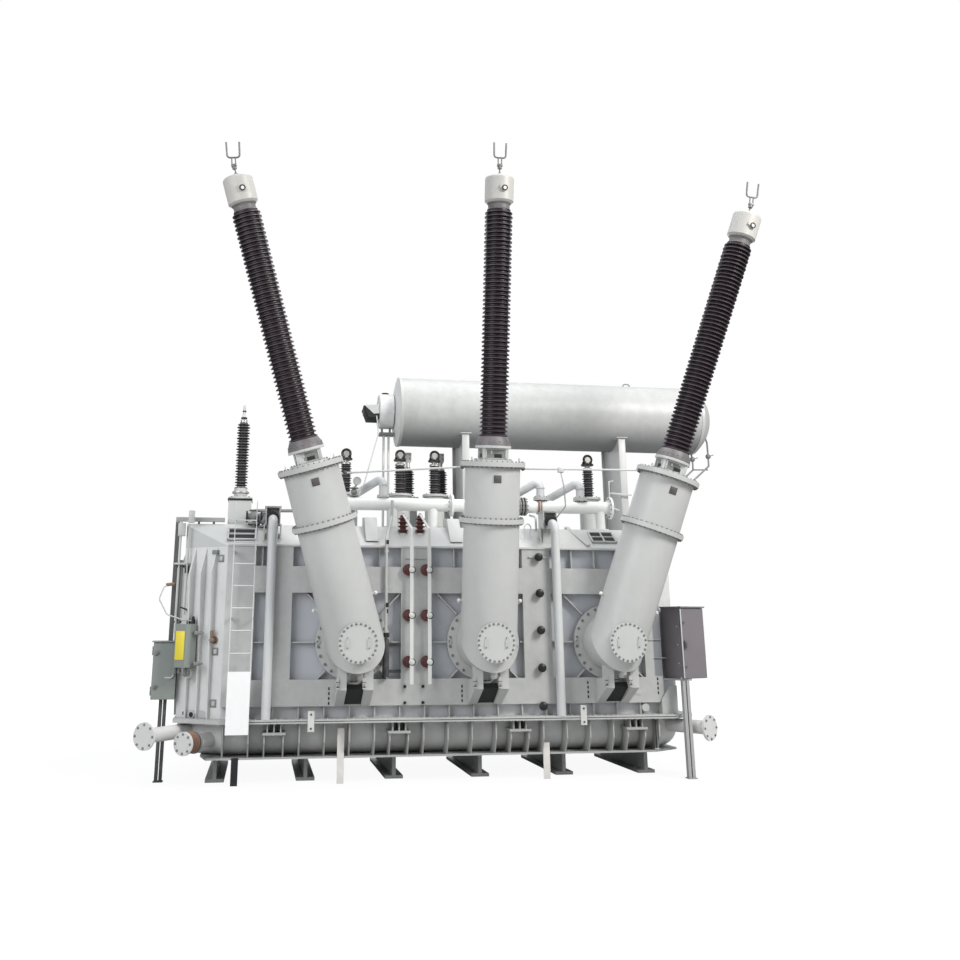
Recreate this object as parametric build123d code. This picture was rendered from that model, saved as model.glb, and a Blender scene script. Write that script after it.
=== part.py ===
"""Three-phase oil-filled power transformer with inclined high-voltage bushings.

The ground is at z = 0 and the front is at -Y. The origin lies under the centre phase, on the tank's
centreline. Lengths are in millimetres and angles in degrees.
"""

import math
import os

from build123d import *

# Shared clearances and turns
SEAT_GAP = 0.3
OVERRUN = 10.0
QUARTER_TURN = 90.0

# Tank outline
PHASE_SPACING = 2200.0
TANK_WIDTH = 2900.0
TANK_LEFT_END = 5030.0
TANK_RIGHT_END = 3500.0
LEFT_CHAMFER_LENGTH = 730.0
LEFT_CHAMFER_DEPTH = 500.0
RIGHT_CHAMFER_LENGTH = 350.0
RIGHT_CHAMFER_DEPTH = 230.0

# Tank heights
BEARER_HEIGHT = 380.0
BASE_PLATE_THICKNESS = 30.0
LOWER_TANK_HEIGHT = 515.0
MAIN_FLANGE_THICKNESS = 60.0
UPPER_TANK_HEIGHT = 2715.0
COVER_RISE = 420.0
COVER_SLOPE_RUN = 550.0
COVER_LIP_THICKNESS = 30.0
COVER_LIP_OVERHANG = 170.0
MAIN_FLANGE_OVERHANG = 330.0
MAIN_FLANGE_LEFT_OVERHANG = 20.0
MAIN_FLANGE_RIGHT_OVERHANG = 120.0

# Cross bearers under the base
BEARER_COUNT = 6
BEARERS_LEFT_COUNT = 3
BEARER_SPACING = 1450.0
BEARER_WIDTH = 300.0
BEARER_END_INSET = 300.0
BEARER_WEB_THICKNESS = 60.0
BEARER_FLANGE_THICKNESS = 50.0

# Lower tank and base plate
LOWER_TANK_INSET = 30.0
LOWER_TANK_ROUND = 330.0
BASE_PLATE_MARGIN = 110.0
BASE_PLATE_END_INSET = 430.0
BASE_PLATE_RIGHT_INSET = 60.0

# Gussets of the lower tank
GUSSET_SPACING = 400.0
GUSSET_COUNT = 19
GUSSET_FIRST_X = -4240.0
GUSSET_THICKNESS = 22.0
GUSSET_REACH = 250.0
GUSSET_STRAIGHT = 290.0

# Jacking brackets
JACKING_FIRST_COUNT = 2
JACKING_STEP_COUNT = 5
JACKING_SHELF_WIDTH = 360.0
JACKING_SHELF_THICKNESS = 36.0
JACKING_SHELF_DROP = 135.0
JACKING_SHELF_REACH = 290.0
JACKING_CHEEK_SPACING = 300.0
JACKING_WEB_SPACING = 105.0
JACKING_WEB_COUNT = 3

# Box stiffeners of the long walls
STIFFENER_DEPTH = 150.0
LOWER_RAIL_RISE = 185.0
LOWER_RAIL_HEIGHT = 410.0
UPPER_RAIL_DROP = 750.0
UPPER_RAIL_HEIGHT = 430.0
RAIL_RIGHT_END = 3120.0
CORNER_STILE_WIDTH = 470.0
PIPE_STILE_CENTRE = -3420.0
PIPE_STILE_WIDTH = 400.0
EARTH_STILE_CENTRE = -1145.0
EARTH_STILE_WIDTH = 520.0
KNOB_STILE_CENTRE = 940.0
KNOB_STILE_WIDTH = 490.0
END_STILE_WIDTH = 300.0

# Thin ribs of the long walls
RIB_THICKNESS = 20.0
RIB_DEPTH = 110.0
SKIRT_RIB_SPACING = 420.0
HEAD_RIB_SPACING = 400.0
DIAGONAL_RIB_ANGLE = 45.0
RIB_TO_FLANGE_GAP = 20.0

# Ribs of the tank's ends
END_RIB_THICKNESS = 30.0
END_RIB_REACH = 140.0
END_RIB_FOOT = 60.0
LEFT_CORNER_RIB_COUNT = 3
END_WALL_RIB_COUNT = 4

# Turrets
TURRET_AXIS_RISE = 1175.0
TURRET_ELBOW_REACH = 510.0
TURRET_LEAN_ANGLE = 9.5
LEFT_SPLAY_ANGLE = 16.5
CENTRE_SPLAY_ANGLE = 0.4
RIGHT_SPLAY_ANGLE = 18.2
TURRET_RADIUS = 465.0
WALL_NECK_LENGTH = 60.0
WALL_NECK_RADIUS = 490.0
WALL_FLANGE_RADIUS = 615.0
WALL_FLANGE_THICKNESS = 50.0
COVER_NECK_RADIUS = 275.0
COVER_NECK_REACH = 530.0
MANHOLE_COVER_RADIUS = 312.0
MANHOLE_COVER_THICKNESS = 32.0
TURRET_LENGTH = 1985.0
CT_SECTION_LENGTH = 925.0
CT_SECTION_RADIUS = 458.0
TURRET_FLANGE_RADIUS = 540.0
TURRET_FLANGE_THICKNESS = 38.0
TURRET_TOP_PLATE_THICKNESS = 40.0
RAISED_PLATE_RADIUS = 325.0
RAISED_PLATE_THICKNESS = 35.0

# Legs under the turrets
LEG_OFFSET = 212.0
LEG_WIDTH = 145.0
LEG_DEPTH = 170.0
LEG_FOOT_RISE = 455.0
LEG_FOOT_THICKNESS = 170.0

# High-voltage bushings
BUSHING_BOX_WIDTH = 420.0
BUSHING_BOX_HEIGHT = 190.0
BUSHING_WINDOW_WIDTH = 180.0
BUSHING_WINDOW_HEIGHT = 110.0
BUSHING_COLLAR_RADIUS = 290.0
BUSHING_COLLAR_HEIGHT = 105.0
BUSHING_COLLAR_TOP_RADIUS = 262.0
BUSHING_COLLAR_TOP_HEIGHT = 90.0
BUSHING_NECK_RADIUS = 208.0
BUSHING_NECK_HEIGHT = 120.0
PORCELAIN_LENGTH = 3880.0
PORCELAIN_CORE_RADIUS = 175.0
PORCELAIN_SHED_RADIUS = 242.0
PORCELAIN_SHED_COUNT = 24
SHED_TIP_THICKNESS = 14.0
SHED_UNDERSIDE_SHARE = 0.35
CAP_RADIUS = 248.0
CAP_HEIGHT = 480.0
CAP_SHOULDER_ROUND = 60.0
CAP_FOOT_CHAMFER = 35.0
CAP_SIDE_PLUG_RADIUS = 45.0
CAP_SIDE_PLUG_LENGTH = 25.0

# Line terminals
TERMINAL_STEM_RADIUS = 28.0
TERMINAL_STEM_LENGTH = 300.0
TERMINAL_RING_RADIUS = 75.0
TERMINAL_RING_THICKNESS = 40.0
TERMINAL_YOKE_WIDTH = 270.0
TERMINAL_YOKE_THICKNESS = 26.0
TERMINAL_FINGER_LENGTH = 280.0

# Conservator
CONSERVATOR_RADIUS = 690.0
CONSERVATOR_WALL = 12.0
CONSERVATOR_LEFT = -1160.0
CONSERVATOR_RIGHT = 5130.0
CONSERVATOR_AXIS_Y = 900.0
CONSERVATOR_CLEARANCE = 230.0
LEFT_HEAD_DISH = 90.0
RIGHT_HEAD_DISH = 330.0
HEAD_THICKNESS = 14.0
TAP_CONSERVATOR_RADIUS = 350.0
TAP_CONSERVATOR_LENGTH = 290.0
TAP_CONSERVATOR_EDGE = 40.0
LEVEL_GAUGE_RADIUS = 110.0
LEVEL_GAUGE_LENGTH = 220.0
LEVEL_GAUGE_NECK_RADIUS = 45.0
LEVEL_GAUGE_NECK_LENGTH = 80.0

# Conservator supports
SUPPORT_LEFT_X = 125.0
SUPPORT_RIGHT_X = 3330.0
SUPPORT_FRONT_Y = 300.0
SUPPORT_REAR_Y = 1300.0
SUPPORT_FLANGE_WIDTH = 145.0
SUPPORT_PLATE_THICKNESS = 25.0

# Oil header on the cover
HEADER_RADIUS = 115.0
HEADER_AXIS_Y = -560.0
HEADER_AXIS_RISE = 440.0
HEADER_LEFT = -2550.0
HEADER_RIGHT = 2720.0
HEADER_FLANGE_RADIUS = 205.0
HEADER_FLANGE_THICKNESS = 40.0
HEADER_FLANGE_PLACE_SHARE = 0.417
HEADER_STUB_PLACES_SHARES = (-0.65, -0.31, 0.27, 1.14)
HEADER_STUB_RADIUS = 90.0
HEADER_STUB_FLANGE_RADIUS = 150.0
RISER_PLACES_SHARES = (0.62, 0.97)
RISER_RADIUS = 75.0
RISER_RISE = 330.0
RISER_BACK = 620.0
RISER_SIDE = 310.0
RISER_BEND = 200.0

# Pressure relief pipes
RELIEF_LEFT_X = -3580.0
RELIEF_RIGHT_X = 1270.0
RELIEF_AXIS_OFFSET = 265.0
RELIEF_RADIUS = 75.0
RELIEF_TOP_RISE = 450.0
RELIEF_BEND = 150.0
RELIEF_BACK = 260.0
HOOD_WIDTH = 250.0
HOOD_DEPTH = 330.0
HOOD_HEIGHT = 300.0
HOOD_RISE = 150.0
HOOD_SADDLE_WIDTH = 190.0
HOOD_WALL = 20.0
HOOD_MOUTH_DEPTH = 180.0

# Ladder
LADDER_LEFT = -4200.0
LADDER_WIDTH = 360.0
LADDER_RAIL_DEPTH = 50.0
LADDER_RAIL_THICKNESS = 14.0
LADDER_RISE = 25.0
LADDER_TOP_RISE = 290.0
LADDER_OFFSET = 400.0
RUNG_FIRST_RISE = 285.0
RUNG_SPACING = 350.0
RUNG_RADIUS = 11.0
LADDER_CLEAT_HEIGHTS_SHARES = (0.06, 0.45, 0.76)
LADDER_BOARD_DROP = 205.0
LADDER_BOARD_HEIGHT = 940.0
LADDER_BOARD_THICKNESS = 4.0

# Neutral bushing
NEUTRAL_X = -4160.0
NEUTRAL_Y = -560.0
NEUTRAL_BOX_WIDTH = 400.0
NEUTRAL_BOX_HEIGHT = 470.0
NEUTRAL_FLANGE_RADIUS = 215.0
NEUTRAL_FLANGE_THICKNESS = 35.0
NEUTRAL_BASE_RADIUS = 120.0
NEUTRAL_BASE_HEIGHT = 160.0
NEUTRAL_CORE_RADIUS = 70.0
NEUTRAL_SHED_RADIUS = 118.0
NEUTRAL_SHED_COUNT = 12
NEUTRAL_PORCELAIN_LENGTH = 1200.0
NEUTRAL_CAP_RADIUS = 60.0
NEUTRAL_CAP_HEIGHT = 130.0
NEUTRAL_PIN_RADIUS = 22.0
NEUTRAL_PIN_LENGTH = 190.0

# Low-voltage bushings
LV_PLACES_SHARES = (-1.0, -0.52, -0.21, 1.21)
LV_AXIS_Y = 500.0
LV_REAR_PLACES_SHARES = (-0.415, -0.11)
LV_REAR_AXIS_Y = 1050.0
LV_BASE_RADIUS = 190.0
LV_BASE_HEIGHT = 720.0
LV_BASE_FLANGE_RADIUS = 235.0
LV_BASE_FLANGE_THICKNESS = 40.0
LV_CORE_RADIUS = 95.0
LV_SHED_RADIUS = 160.0
LV_SHED_COUNT = 7
LV_PORCELAIN_LENGTH = 560.0
LV_CAP_RADIUS = 85.0
LV_CAP_HEIGHT = 90.0
LV_PALM_WIDTH = 130.0
LV_PALM_HEIGHT = 150.0
LV_PALM_THICKNESS = 35.0

# Earth bars of the core and clamps
EARTH_BAR_PLACES = (-1245.0, -945.0)
EARTH_BAR_WIDTH = 60.0
EARTH_BAR_THICKNESS = 12.0
EARTH_BAR_RISE = 515.0
EARTH_BAR_TOP_RISE = 160.0
POST_INSULATOR_LOWEST_RISE = 865.0
POST_INSULATOR_SPACING = 740.0
POST_INSULATOR_COUNT = 3
POST_INSULATOR_LENGTH = 130.0
POST_INSULATOR_RADIUS = 60.0
POST_INSULATOR_SHED_RADIUS = 98.0
POST_INSULATOR_OFFSET = 45.0
EARTH_BUSHING_PLACES = (-1300.0, -995.0)
EARTH_BUSHING_Y = -1050.0
EARTH_BUSHING_RADIUS = 55.0
EARTH_BUSHING_SHED_RADIUS = 85.0
EARTH_BUSHING_HEIGHT = 330.0

# Standoff knobs
KNOB_RADIUS = 72.0
KNOB_LENGTH = 120.0
KNOB_OFFSET = 35.0
KNOB_LOWEST_RISE = 150.0
KNOB_TOP_DROP = 135.0
KNOB_COUNT = 5

# Breather
BREATHER_X = -1665.0
BREATHER_RADIUS = 55.0
BREATHER_HEIGHT = 600.0
BREATHER_RISE = 625.0
BREATHER_PIPE_RADIUS = 16.0
BREATHER_PIPE_DROP = 60.0
BREATHER_ARM_HEIGHT = 50.0
BREATHER_ARM_THICKNESS = 20.0
BREATHER_ARM_HEIGHTS_SHARES = (0.15, 0.85)

# Control cabinet
CABINET_CORNER_INSET = 150.0
CABINET_CORNER_REACH = 510.0
CABINET_TURN_ANGLE = 20.0
CABINET_RISE = 575.0
CABINET_WIDTH = 520.0
CABINET_DEPTH = 480.0
CABINET_HEIGHT = 1160.0
CABINET_WALL = 25.0
DOOR_THICKNESS = 25.0
DOOR_CLEARANCE = 6.0
ROOF_OVERHANG = 25.0
ROOF_THICKNESS = 22.0
HINGE_RADIUS = 9.0
HINGE_STANDOFF = 12.0
HINGE_LENGTH = 70.0
HINGE_LEAF_LENGTH = 40.0
HINGE_HEIGHTS_SHARES = (0.15, 0.85)

# Terminal box on the left
LEFT_BOX_REACH = 410.0
LEFT_BOX_INSET = 370.0
LEFT_BOX_RISE = 275.0
LEFT_BOX_WIDTH = 380.0
LEFT_BOX_DEPTH = 300.0
LEFT_BOX_HEIGHT = 900.0

# Relay box on the left corner
RELAY_BOX_WIDTH = 310.0
RELAY_BOX_DEPTH = 200.0
RELAY_BOX_HEIGHT = 680.0
RELAY_BOX_RISE = 785.0
RELAY_BOX_SHARE = 0.68
RELAY_ARM_OFFSETS = (-130.0, 60.0)
RELAY_ARM_HEIGHT = 50.0
RELAY_BOX_ROUND = 70.0

# Posts under the boxes
POST_INSET = 60.0
SHELF_THICKNESS = 30.0
POST_CHANNEL_WIDTH = 50.0
POST_CHANNEL_DEPTH = 90.0
POST_CHANNEL_GAP = 18.0
POST_FOOT_WIDTH = 150.0
POST_FOOT_THICKNESS = 16.0

# Cable trunking
TRUNKING_SIZE = 70.0
TRUNKING_STANDOFF = 160.0
TRUNKING_CLEARANCE = 40.0
TRUNKING_RIGHT = -4400.0
TRUNKING_CLEAT_HEIGHTS_SHARES = (0.2, 0.8)
TRUNKING_FOOT_PLACES_SHARES = (0.3, 0.7)

# Oil pipes of the lower tank
OIL_PIPE_RADIUS = 110.0
OIL_PIPE_ROOT = 300.0
OIL_PIPE_AXIS_DROP = 140.0
OIL_PIPE_INNER_DROP = 125.0
OIL_FLANGE_RADIUS = 205.0
OIL_INNER_FLANGE_RADIUS = 176.0
OIL_FLANGE_THICKNESS = 36.0
OIL_PIPE_OUTER_REACH = 1010.0
OIL_PIPE_INNER_REACH = 620.0
OIL_PIPE_RIGHT_REACH = 760.0
OIL_FLANGE_HOLE_RADIUS = 11.0
OIL_FLANGE_HOLE_COUNT = 8
OIL_FLANGE_BOLT_INSET = 35.0

# Earth straps to the ground
STRAP_PLACES = (-4035.0, -2370.0, 1030.0)
STRAP_RISES = (0.0, 420.0, 150.0)
STRAP_WIDTH = 110.0
STRAP_THICKNESS = 14.0

# Derived heights and walls
BASE_TOP = BEARER_HEIGHT + BASE_PLATE_THICKNESS
FLANGE_BOTTOM = BASE_TOP + LOWER_TANK_HEIGHT
FLANGE_TOP = FLANGE_BOTTOM + MAIN_FLANGE_THICKNESS
WALL_TOP = FLANGE_TOP + UPPER_TANK_HEIGHT
DECK = WALL_TOP + COVER_RISE
FRONT = -TANK_WIDTH / 2
BACK = TANK_WIDTH / 2
STIFFENER_FACE = FRONT - STIFFENER_DEPTH
CORNER_STILE_CENTRE = -TANK_LEFT_END + LEFT_CHAMFER_LENGTH + CORNER_STILE_WIDTH / 2
END_STILE_CENTRE = RAIL_RIGHT_END - END_STILE_WIDTH / 2
TURRET_AXIS_Y = FRONT - TURRET_ELBOW_REACH
BEARER_LENGTH = TANK_WIDTH - 2 * BEARER_END_INSET
LOWER_RAIL_BOTTOM = FLANGE_TOP + LOWER_RAIL_RISE
UPPER_RAIL_BOTTOM = WALL_TOP - UPPER_RAIL_DROP
TURRET_AXIS_HEIGHT = FLANGE_TOP + TURRET_AXIS_RISE
LEG_FOOT_HEIGHT = FLANGE_TOP + LEG_FOOT_RISE
EARTH_BAR_BOTTOM = FLANGE_TOP + EARTH_BAR_RISE
EARTH_BAR_TOP = WALL_TOP + EARTH_BAR_TOP_RISE
KNOB_LOWEST_HEIGHT = FLANGE_TOP + KNOB_LOWEST_RISE
KNOB_SPACING = (WALL_TOP - KNOB_TOP_DROP - KNOB_LOWEST_HEIGHT) / (KNOB_COUNT - 1)
BREATHER_BOTTOM = FLANGE_TOP + BREATHER_RISE
RELAY_BOX_BOTTOM = FLANGE_TOP + RELAY_BOX_RISE
LADDER_BOTTOM = FLANGE_TOP + LADDER_RISE
LADDER_TOP = DECK + LADDER_TOP_RISE
LADDER_BOARD_BOTTOM = FLANGE_TOP - LADDER_BOARD_DROP
OIL_PIPE_AXIS_HEIGHT = FLANGE_BOTTOM - OIL_PIPE_AXIS_DROP
RELIEF_TOP_HEIGHT = WALL_TOP + RELIEF_TOP_RISE
LV_STACK = LV_BASE_HEIGHT + LV_BASE_FLANGE_THICKNESS + LV_PORCELAIN_LENGTH + LV_CAP_HEIGHT + LV_PALM_HEIGHT
CONSERVATOR_AXIS_HEIGHT = DECK + LV_STACK + CONSERVATOR_CLEARANCE + CONSERVATOR_RADIUS
CABINET_BOTTOM = FLANGE_TOP + CABINET_RISE
CABINET_ORIGIN = (TANK_RIGHT_END - CABINET_CORNER_INSET, FRONT - CABINET_CORNER_REACH, CABINET_BOTTOM)
LEFT_BOX_X = -TANK_LEFT_END - LEFT_BOX_REACH
LEFT_BOX_Y = FRONT + LEFT_BOX_INSET
LEFT_BOX_BOTTOM = FLANGE_TOP + LEFT_BOX_RISE
LEFT_BOX_TOP = LEFT_BOX_BOTTOM + LEFT_BOX_HEIGHT + ROOF_THICKNESS


def block(x_range, y_range, z_range):
    """Return a box between the lowest and highest value along each axis."""
    low = Vector(x_range[0], y_range[0], z_range[0])
    high = Vector(x_range[1], y_range[1], z_range[1])
    size = high - low
    centre = (low + high) * 0.5
    return Pos(*centre) * Box(size.X, size.Y, size.Z)


def around(centre, width):
    """Return the two ends of a span of the given width about its centre."""
    return (centre - width / 2, centre + width / 2)


def rod(start, end, radius):
    """Return a round bar from one point to another."""
    run = Vector(*end) - Vector(*start)
    return disc(Plane(origin=start, z_dir=run), 0, run.length, radius)


def disc(plane, start, thickness, radius):
    """Return a disc on a plane's normal, from start to start plus thickness."""
    place = plane * Pos(0, 0, start)
    return place * Cylinder(radius, thickness, align=(Align.CENTER, Align.CENTER, Align.MIN))


def slab(outline, bottom, thickness):
    """Return a flat plate with the given plan outline."""
    return Pos(0, 0, bottom) * extrude(make_face(Polyline(*outline, close=True)), thickness, dir=(0, 0, 1))


def cross_plate(outline, centre_x, thickness):
    """Return a plate square to X with its outline given in Y and Z."""
    face = make_face(Plane.YZ * Polyline(*outline, close=True))
    return Pos(centre_x - thickness / 2, 0, 0) * extrude(face, thickness, dir=(1, 0, 0))


def pipe(points, radius, bend):
    """Return a solid pipe along straight runs joined by bends."""
    path = FilletPolyline(*points, radius=bend)
    return sweep(Plane(origin=path @ 0, z_dir=path % 0) * Circle(radius), path=path)


def spin(outline, plane):
    """Return the body of revolution of a closed outline of (radius, height) pairs."""
    face = make_face(Plane.XZ * Polyline(*outline, close=True))
    return plane * revolve(face, Axis.Z)


def mirrored(shapes):
    """Return the shapes with their copies on the rear wall."""
    return list(shapes) + [mirror(shape, about=Plane.XZ) for shape in shapes]


def save(name, *shapes):
    """Write the solids of one node."""
    solids = [solid for shape in shapes for solid in shape.solids()]
    export_step(solids[0] if len(solids) == 1 else Compound(solids), f"parts/{name}.step")


def tank_outline(grow, grow_left, grow_right):
    """Return the tank's plan outline with its corner chamfers, grown by a margin on each side."""
    left = -TANK_LEFT_END - grow_left
    right = TANK_RIGHT_END + grow_right
    side = TANK_WIDTH / 2 + grow
    front = [
        (left, -side + LEFT_CHAMFER_DEPTH),
        (left + LEFT_CHAMFER_LENGTH, -side),
        (right - RIGHT_CHAMFER_LENGTH, -side),
        (right, -side + RIGHT_CHAMFER_DEPTH),
    ]
    return front + [(x, -y) for x, y in reversed(front)]


def shed_outline(core, shed, length, count, tip):
    """Return a porcelain profile with sloped sheds."""
    pitch = length / count
    points = [(0, 0), (core, 0)]
    for index in range(count):
        foot = index * pitch
        points.append((shed, foot + pitch * SHED_UNDERSIDE_SHARE))
        points.append((shed, foot + pitch * SHED_UNDERSIDE_SHARE + tip))
        points.append((core, foot + pitch))
    return points + [(0, length)]


def turret_axis(phase, splay):
    """Return the plane of a turret, its origin in the elbow and its normal up the bushing."""
    up = Vector(math.tan(math.radians(splay)), -math.tan(math.radians(TURRET_LEAN_ANGLE)), 1)
    origin = (phase * PHASE_SPACING, TURRET_AXIS_Y, TURRET_AXIS_HEIGHT)
    return Plane(origin=origin, x_dir=Vector(1, 0, -up.X), z_dir=up)


PHASES = (
    ("left", -1, -LEFT_SPLAY_ANGLE),
    ("centre", 0, CENTRE_SPLAY_ANGLE),
    ("right", 1, RIGHT_SPLAY_ANGLE),
)


def lower_tank_solid():
    """Return the lower tank, rounded in to the base plate all round its foot."""
    outline = tank_outline(-LOWER_TANK_INSET, -LOWER_TANK_INSET, -LOWER_TANK_INSET)
    tank = slab(outline, BASE_TOP, LOWER_TANK_HEIGHT)
    return fillet(tank.edges().group_by(Axis.Z)[0], LOWER_TANK_ROUND)


def make_base():
    """Write the bearers, the base plate and the lower tank."""
    bearers = []
    half_web = BEARER_WEB_THICKNESS / 2
    for index in range(BEARER_COUNT):
        x = (index - BEARERS_LEFT_COUNT) * BEARER_SPACING
        y_range = around(0, BEARER_LENGTH)
        bottom = block(around(x, BEARER_WIDTH), y_range, (0, BEARER_FLANGE_THICKNESS))
        web = block((x - half_web, x + half_web), y_range, (0, BEARER_HEIGHT))
        top_z = (BEARER_HEIGHT - BEARER_FLANGE_THICKNESS, BEARER_HEIGHT)
        top = block(around(x, BEARER_WIDTH), y_range, top_z)
        bearers.append(bottom + web + top)
    save("cross_bearers", *bearers)

    left = -TANK_LEFT_END + BASE_PLATE_END_INSET
    right = TANK_RIGHT_END - BASE_PLATE_RIGHT_INSET
    side = TANK_WIDTH / 2 + BASE_PLATE_MARGIN
    corner = RIGHT_CHAMFER_DEPTH + BASE_PLATE_MARGIN
    front = [
        (left, -side + LEFT_CHAMFER_DEPTH),
        (left + BASE_PLATE_MARGIN, -side),
        (right - LEFT_CHAMFER_DEPTH, -side),
        (right, -side + corner),
    ]
    outline = front + [(x, -y) for x, y in reversed(front)]
    save("base_plate", slab(outline, BEARER_HEIGHT, BASE_PLATE_THICKNESS))

    save("lower_tank", lower_tank_solid())


def gusset(top):
    """Return an upright plate at X zero, from the base plate to a height, cut round the lower tank."""
    edge = FRONT - GUSSET_REACH
    wall = FRONT + LOWER_TANK_INSET - SEAT_GAP
    round_y = FRONT + LOWER_TANK_INSET + LOWER_TANK_ROUND
    round_z = BASE_TOP + LOWER_TANK_ROUND
    tail = wall + LOWER_TANK_ROUND / 2
    outline = [
        (wall, top),
        (edge, top),
        (edge, FLANGE_BOTTOM - GUSSET_STRAIGHT),
        (FRONT - BASE_PLATE_MARGIN, BASE_TOP),
        (tail, BASE_TOP),
        (tail, round_z),
        (wall, round_z),
    ]
    ends = [(x, round_y, round_z) for x in (-GUSSET_THICKNESS, GUSSET_THICKNESS)]
    return cross_plate(outline, 0, GUSSET_THICKNESS) - rod(*ends, LOWER_TANK_ROUND + SEAT_GAP)


def jacking_bracket():
    """Return a jacking bracket at X zero: a shelf on two cheeks, with webs up to the main flange."""
    top = FLANGE_BOTTOM - JACKING_SHELF_DROP
    wall = FRONT + LOWER_TANK_INSET - SEAT_GAP
    shelf = block(around(0, JACKING_SHELF_WIDTH), (FRONT - JACKING_SHELF_REACH, wall),
                  (top - JACKING_SHELF_THICKNESS, top))
    cheek = gusset(top - JACKING_SHELF_THICKNESS / 2)
    for side in (-1 / 2, 1 / 2):
        shelf += Pos(side * JACKING_CHEEK_SPACING, 0, 0) * cheek
    for index in range(JACKING_WEB_COUNT):
        x = (index - (JACKING_WEB_COUNT - 1) / 2) * JACKING_WEB_SPACING
        shelf += block(around(x, GUSSET_THICKNESS), (FRONT - GUSSET_REACH, wall), (top, FLANGE_BOTTOM))
    return shelf


def make_lower_fittings():
    """Write the gussets, the jacking brackets, the main flange and the earth straps."""
    gussets = []
    brackets = []
    plate = gusset(FLANGE_BOTTOM)
    bracket = jacking_bracket()
    for index in range(GUSSET_COUNT):
        place = Pos(GUSSET_FIRST_X + index * GUSSET_SPACING, 0, 0)
        if index % JACKING_STEP_COUNT == JACKING_FIRST_COUNT:
            brackets.append(place * bracket)
        else:
            gussets.append(place * plate)
    save("base_gussets", *mirrored(gussets))
    save("jacking_pads", *mirrored(brackets))

    outline = tank_outline(MAIN_FLANGE_OVERHANG, MAIN_FLANGE_LEFT_OVERHANG, MAIN_FLANGE_RIGHT_OVERHANG)
    save("main_flange", slab(outline, FLANGE_BOTTOM, MAIN_FLANGE_THICKNESS))

    straps = []
    near = FRONT - BASE_PLATE_MARGIN - SEAT_GAP
    for x, rise in zip(STRAP_PLACES, STRAP_RISES):
        straps.append(block(around(x, STRAP_WIDTH), (near - STRAP_THICKNESS, near), (0, BASE_TOP + rise)))
    save("earth_straps", *straps)


def make_upper_tank():
    """Write the tank's walls and its cover with sloped shoulders."""
    save("upper_tank", slab(tank_outline(0, 0, 0), FLANGE_TOP, UPPER_TANK_HEIGHT))

    body = slab(tank_outline(0, 0, 0), WALL_TOP, COVER_RISE)
    shoulder = [
        (FRONT, WALL_TOP),
        (FRONT + COVER_SLOPE_RUN, DECK),
        (BACK - COVER_SLOPE_RUN, DECK),
        (BACK, WALL_TOP),
    ]
    middle = (TANK_RIGHT_END - TANK_LEFT_END) / 2
    prism = cross_plate(shoulder, middle, TANK_LEFT_END + TANK_RIGHT_END + OVERRUN)
    rim_side = TANK_WIDTH / 2 + COVER_LIP_OVERHANG
    rim_x = (-TANK_LEFT_END + LEFT_CHAMFER_LENGTH, RAIL_RIGHT_END)
    rim = block(rim_x, (-rim_side, rim_side), (WALL_TOP, WALL_TOP + COVER_LIP_THICKNESS))
    save("tank_cover", (body & prism) + rim)


def stile_places():
    """Return the centre and width of each upright box stiffener."""
    return (
        (CORNER_STILE_CENTRE, CORNER_STILE_WIDTH),
        (PIPE_STILE_CENTRE, PIPE_STILE_WIDTH),
        (EARTH_STILE_CENTRE, EARTH_STILE_WIDTH),
        (KNOB_STILE_CENTRE, KNOB_STILE_WIDTH),
        (END_STILE_CENTRE, END_STILE_WIDTH),
    )


def bays():
    """Return the free spans between neighbouring stiles."""
    edges = [around(centre, width) for centre, width in stile_places()]
    return [(left[1], right[0]) for left, right in zip(edges, edges[1:])]


def make_stiffeners():
    """Write the box stiffeners of both long walls."""
    lower_top = LOWER_RAIL_BOTTOM + LOWER_RAIL_HEIGHT
    depth = (STIFFENER_FACE, FRONT)
    rail_left = -TANK_LEFT_END + LEFT_CHAMFER_LENGTH
    lower = block((rail_left, RAIL_RIGHT_END), depth, (LOWER_RAIL_BOTTOM, lower_top))
    stiles = []
    for centre, width in stile_places():
        stiles.append(block(around(centre, width), depth, (lower_top, WALL_TOP)))
    save("wall_stiles", *mirrored(stiles))

    upper = [lower]
    for left, right in bays():
        upper.append(block((left, right), depth, (UPPER_RAIL_BOTTOM, UPPER_RAIL_BOTTOM + UPPER_RAIL_HEIGHT)))
    save("wall_rails", *mirrored(upper))


def spaced(span, spacing):
    """Return evenly spaced places inside a span, none at its ends."""
    count = max(1, round((span[1] - span[0]) / spacing) - 1)
    step = (span[1] - span[0]) / (count + 1)
    return [span[0] + step * (index + 1) for index in range(count)]


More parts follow.
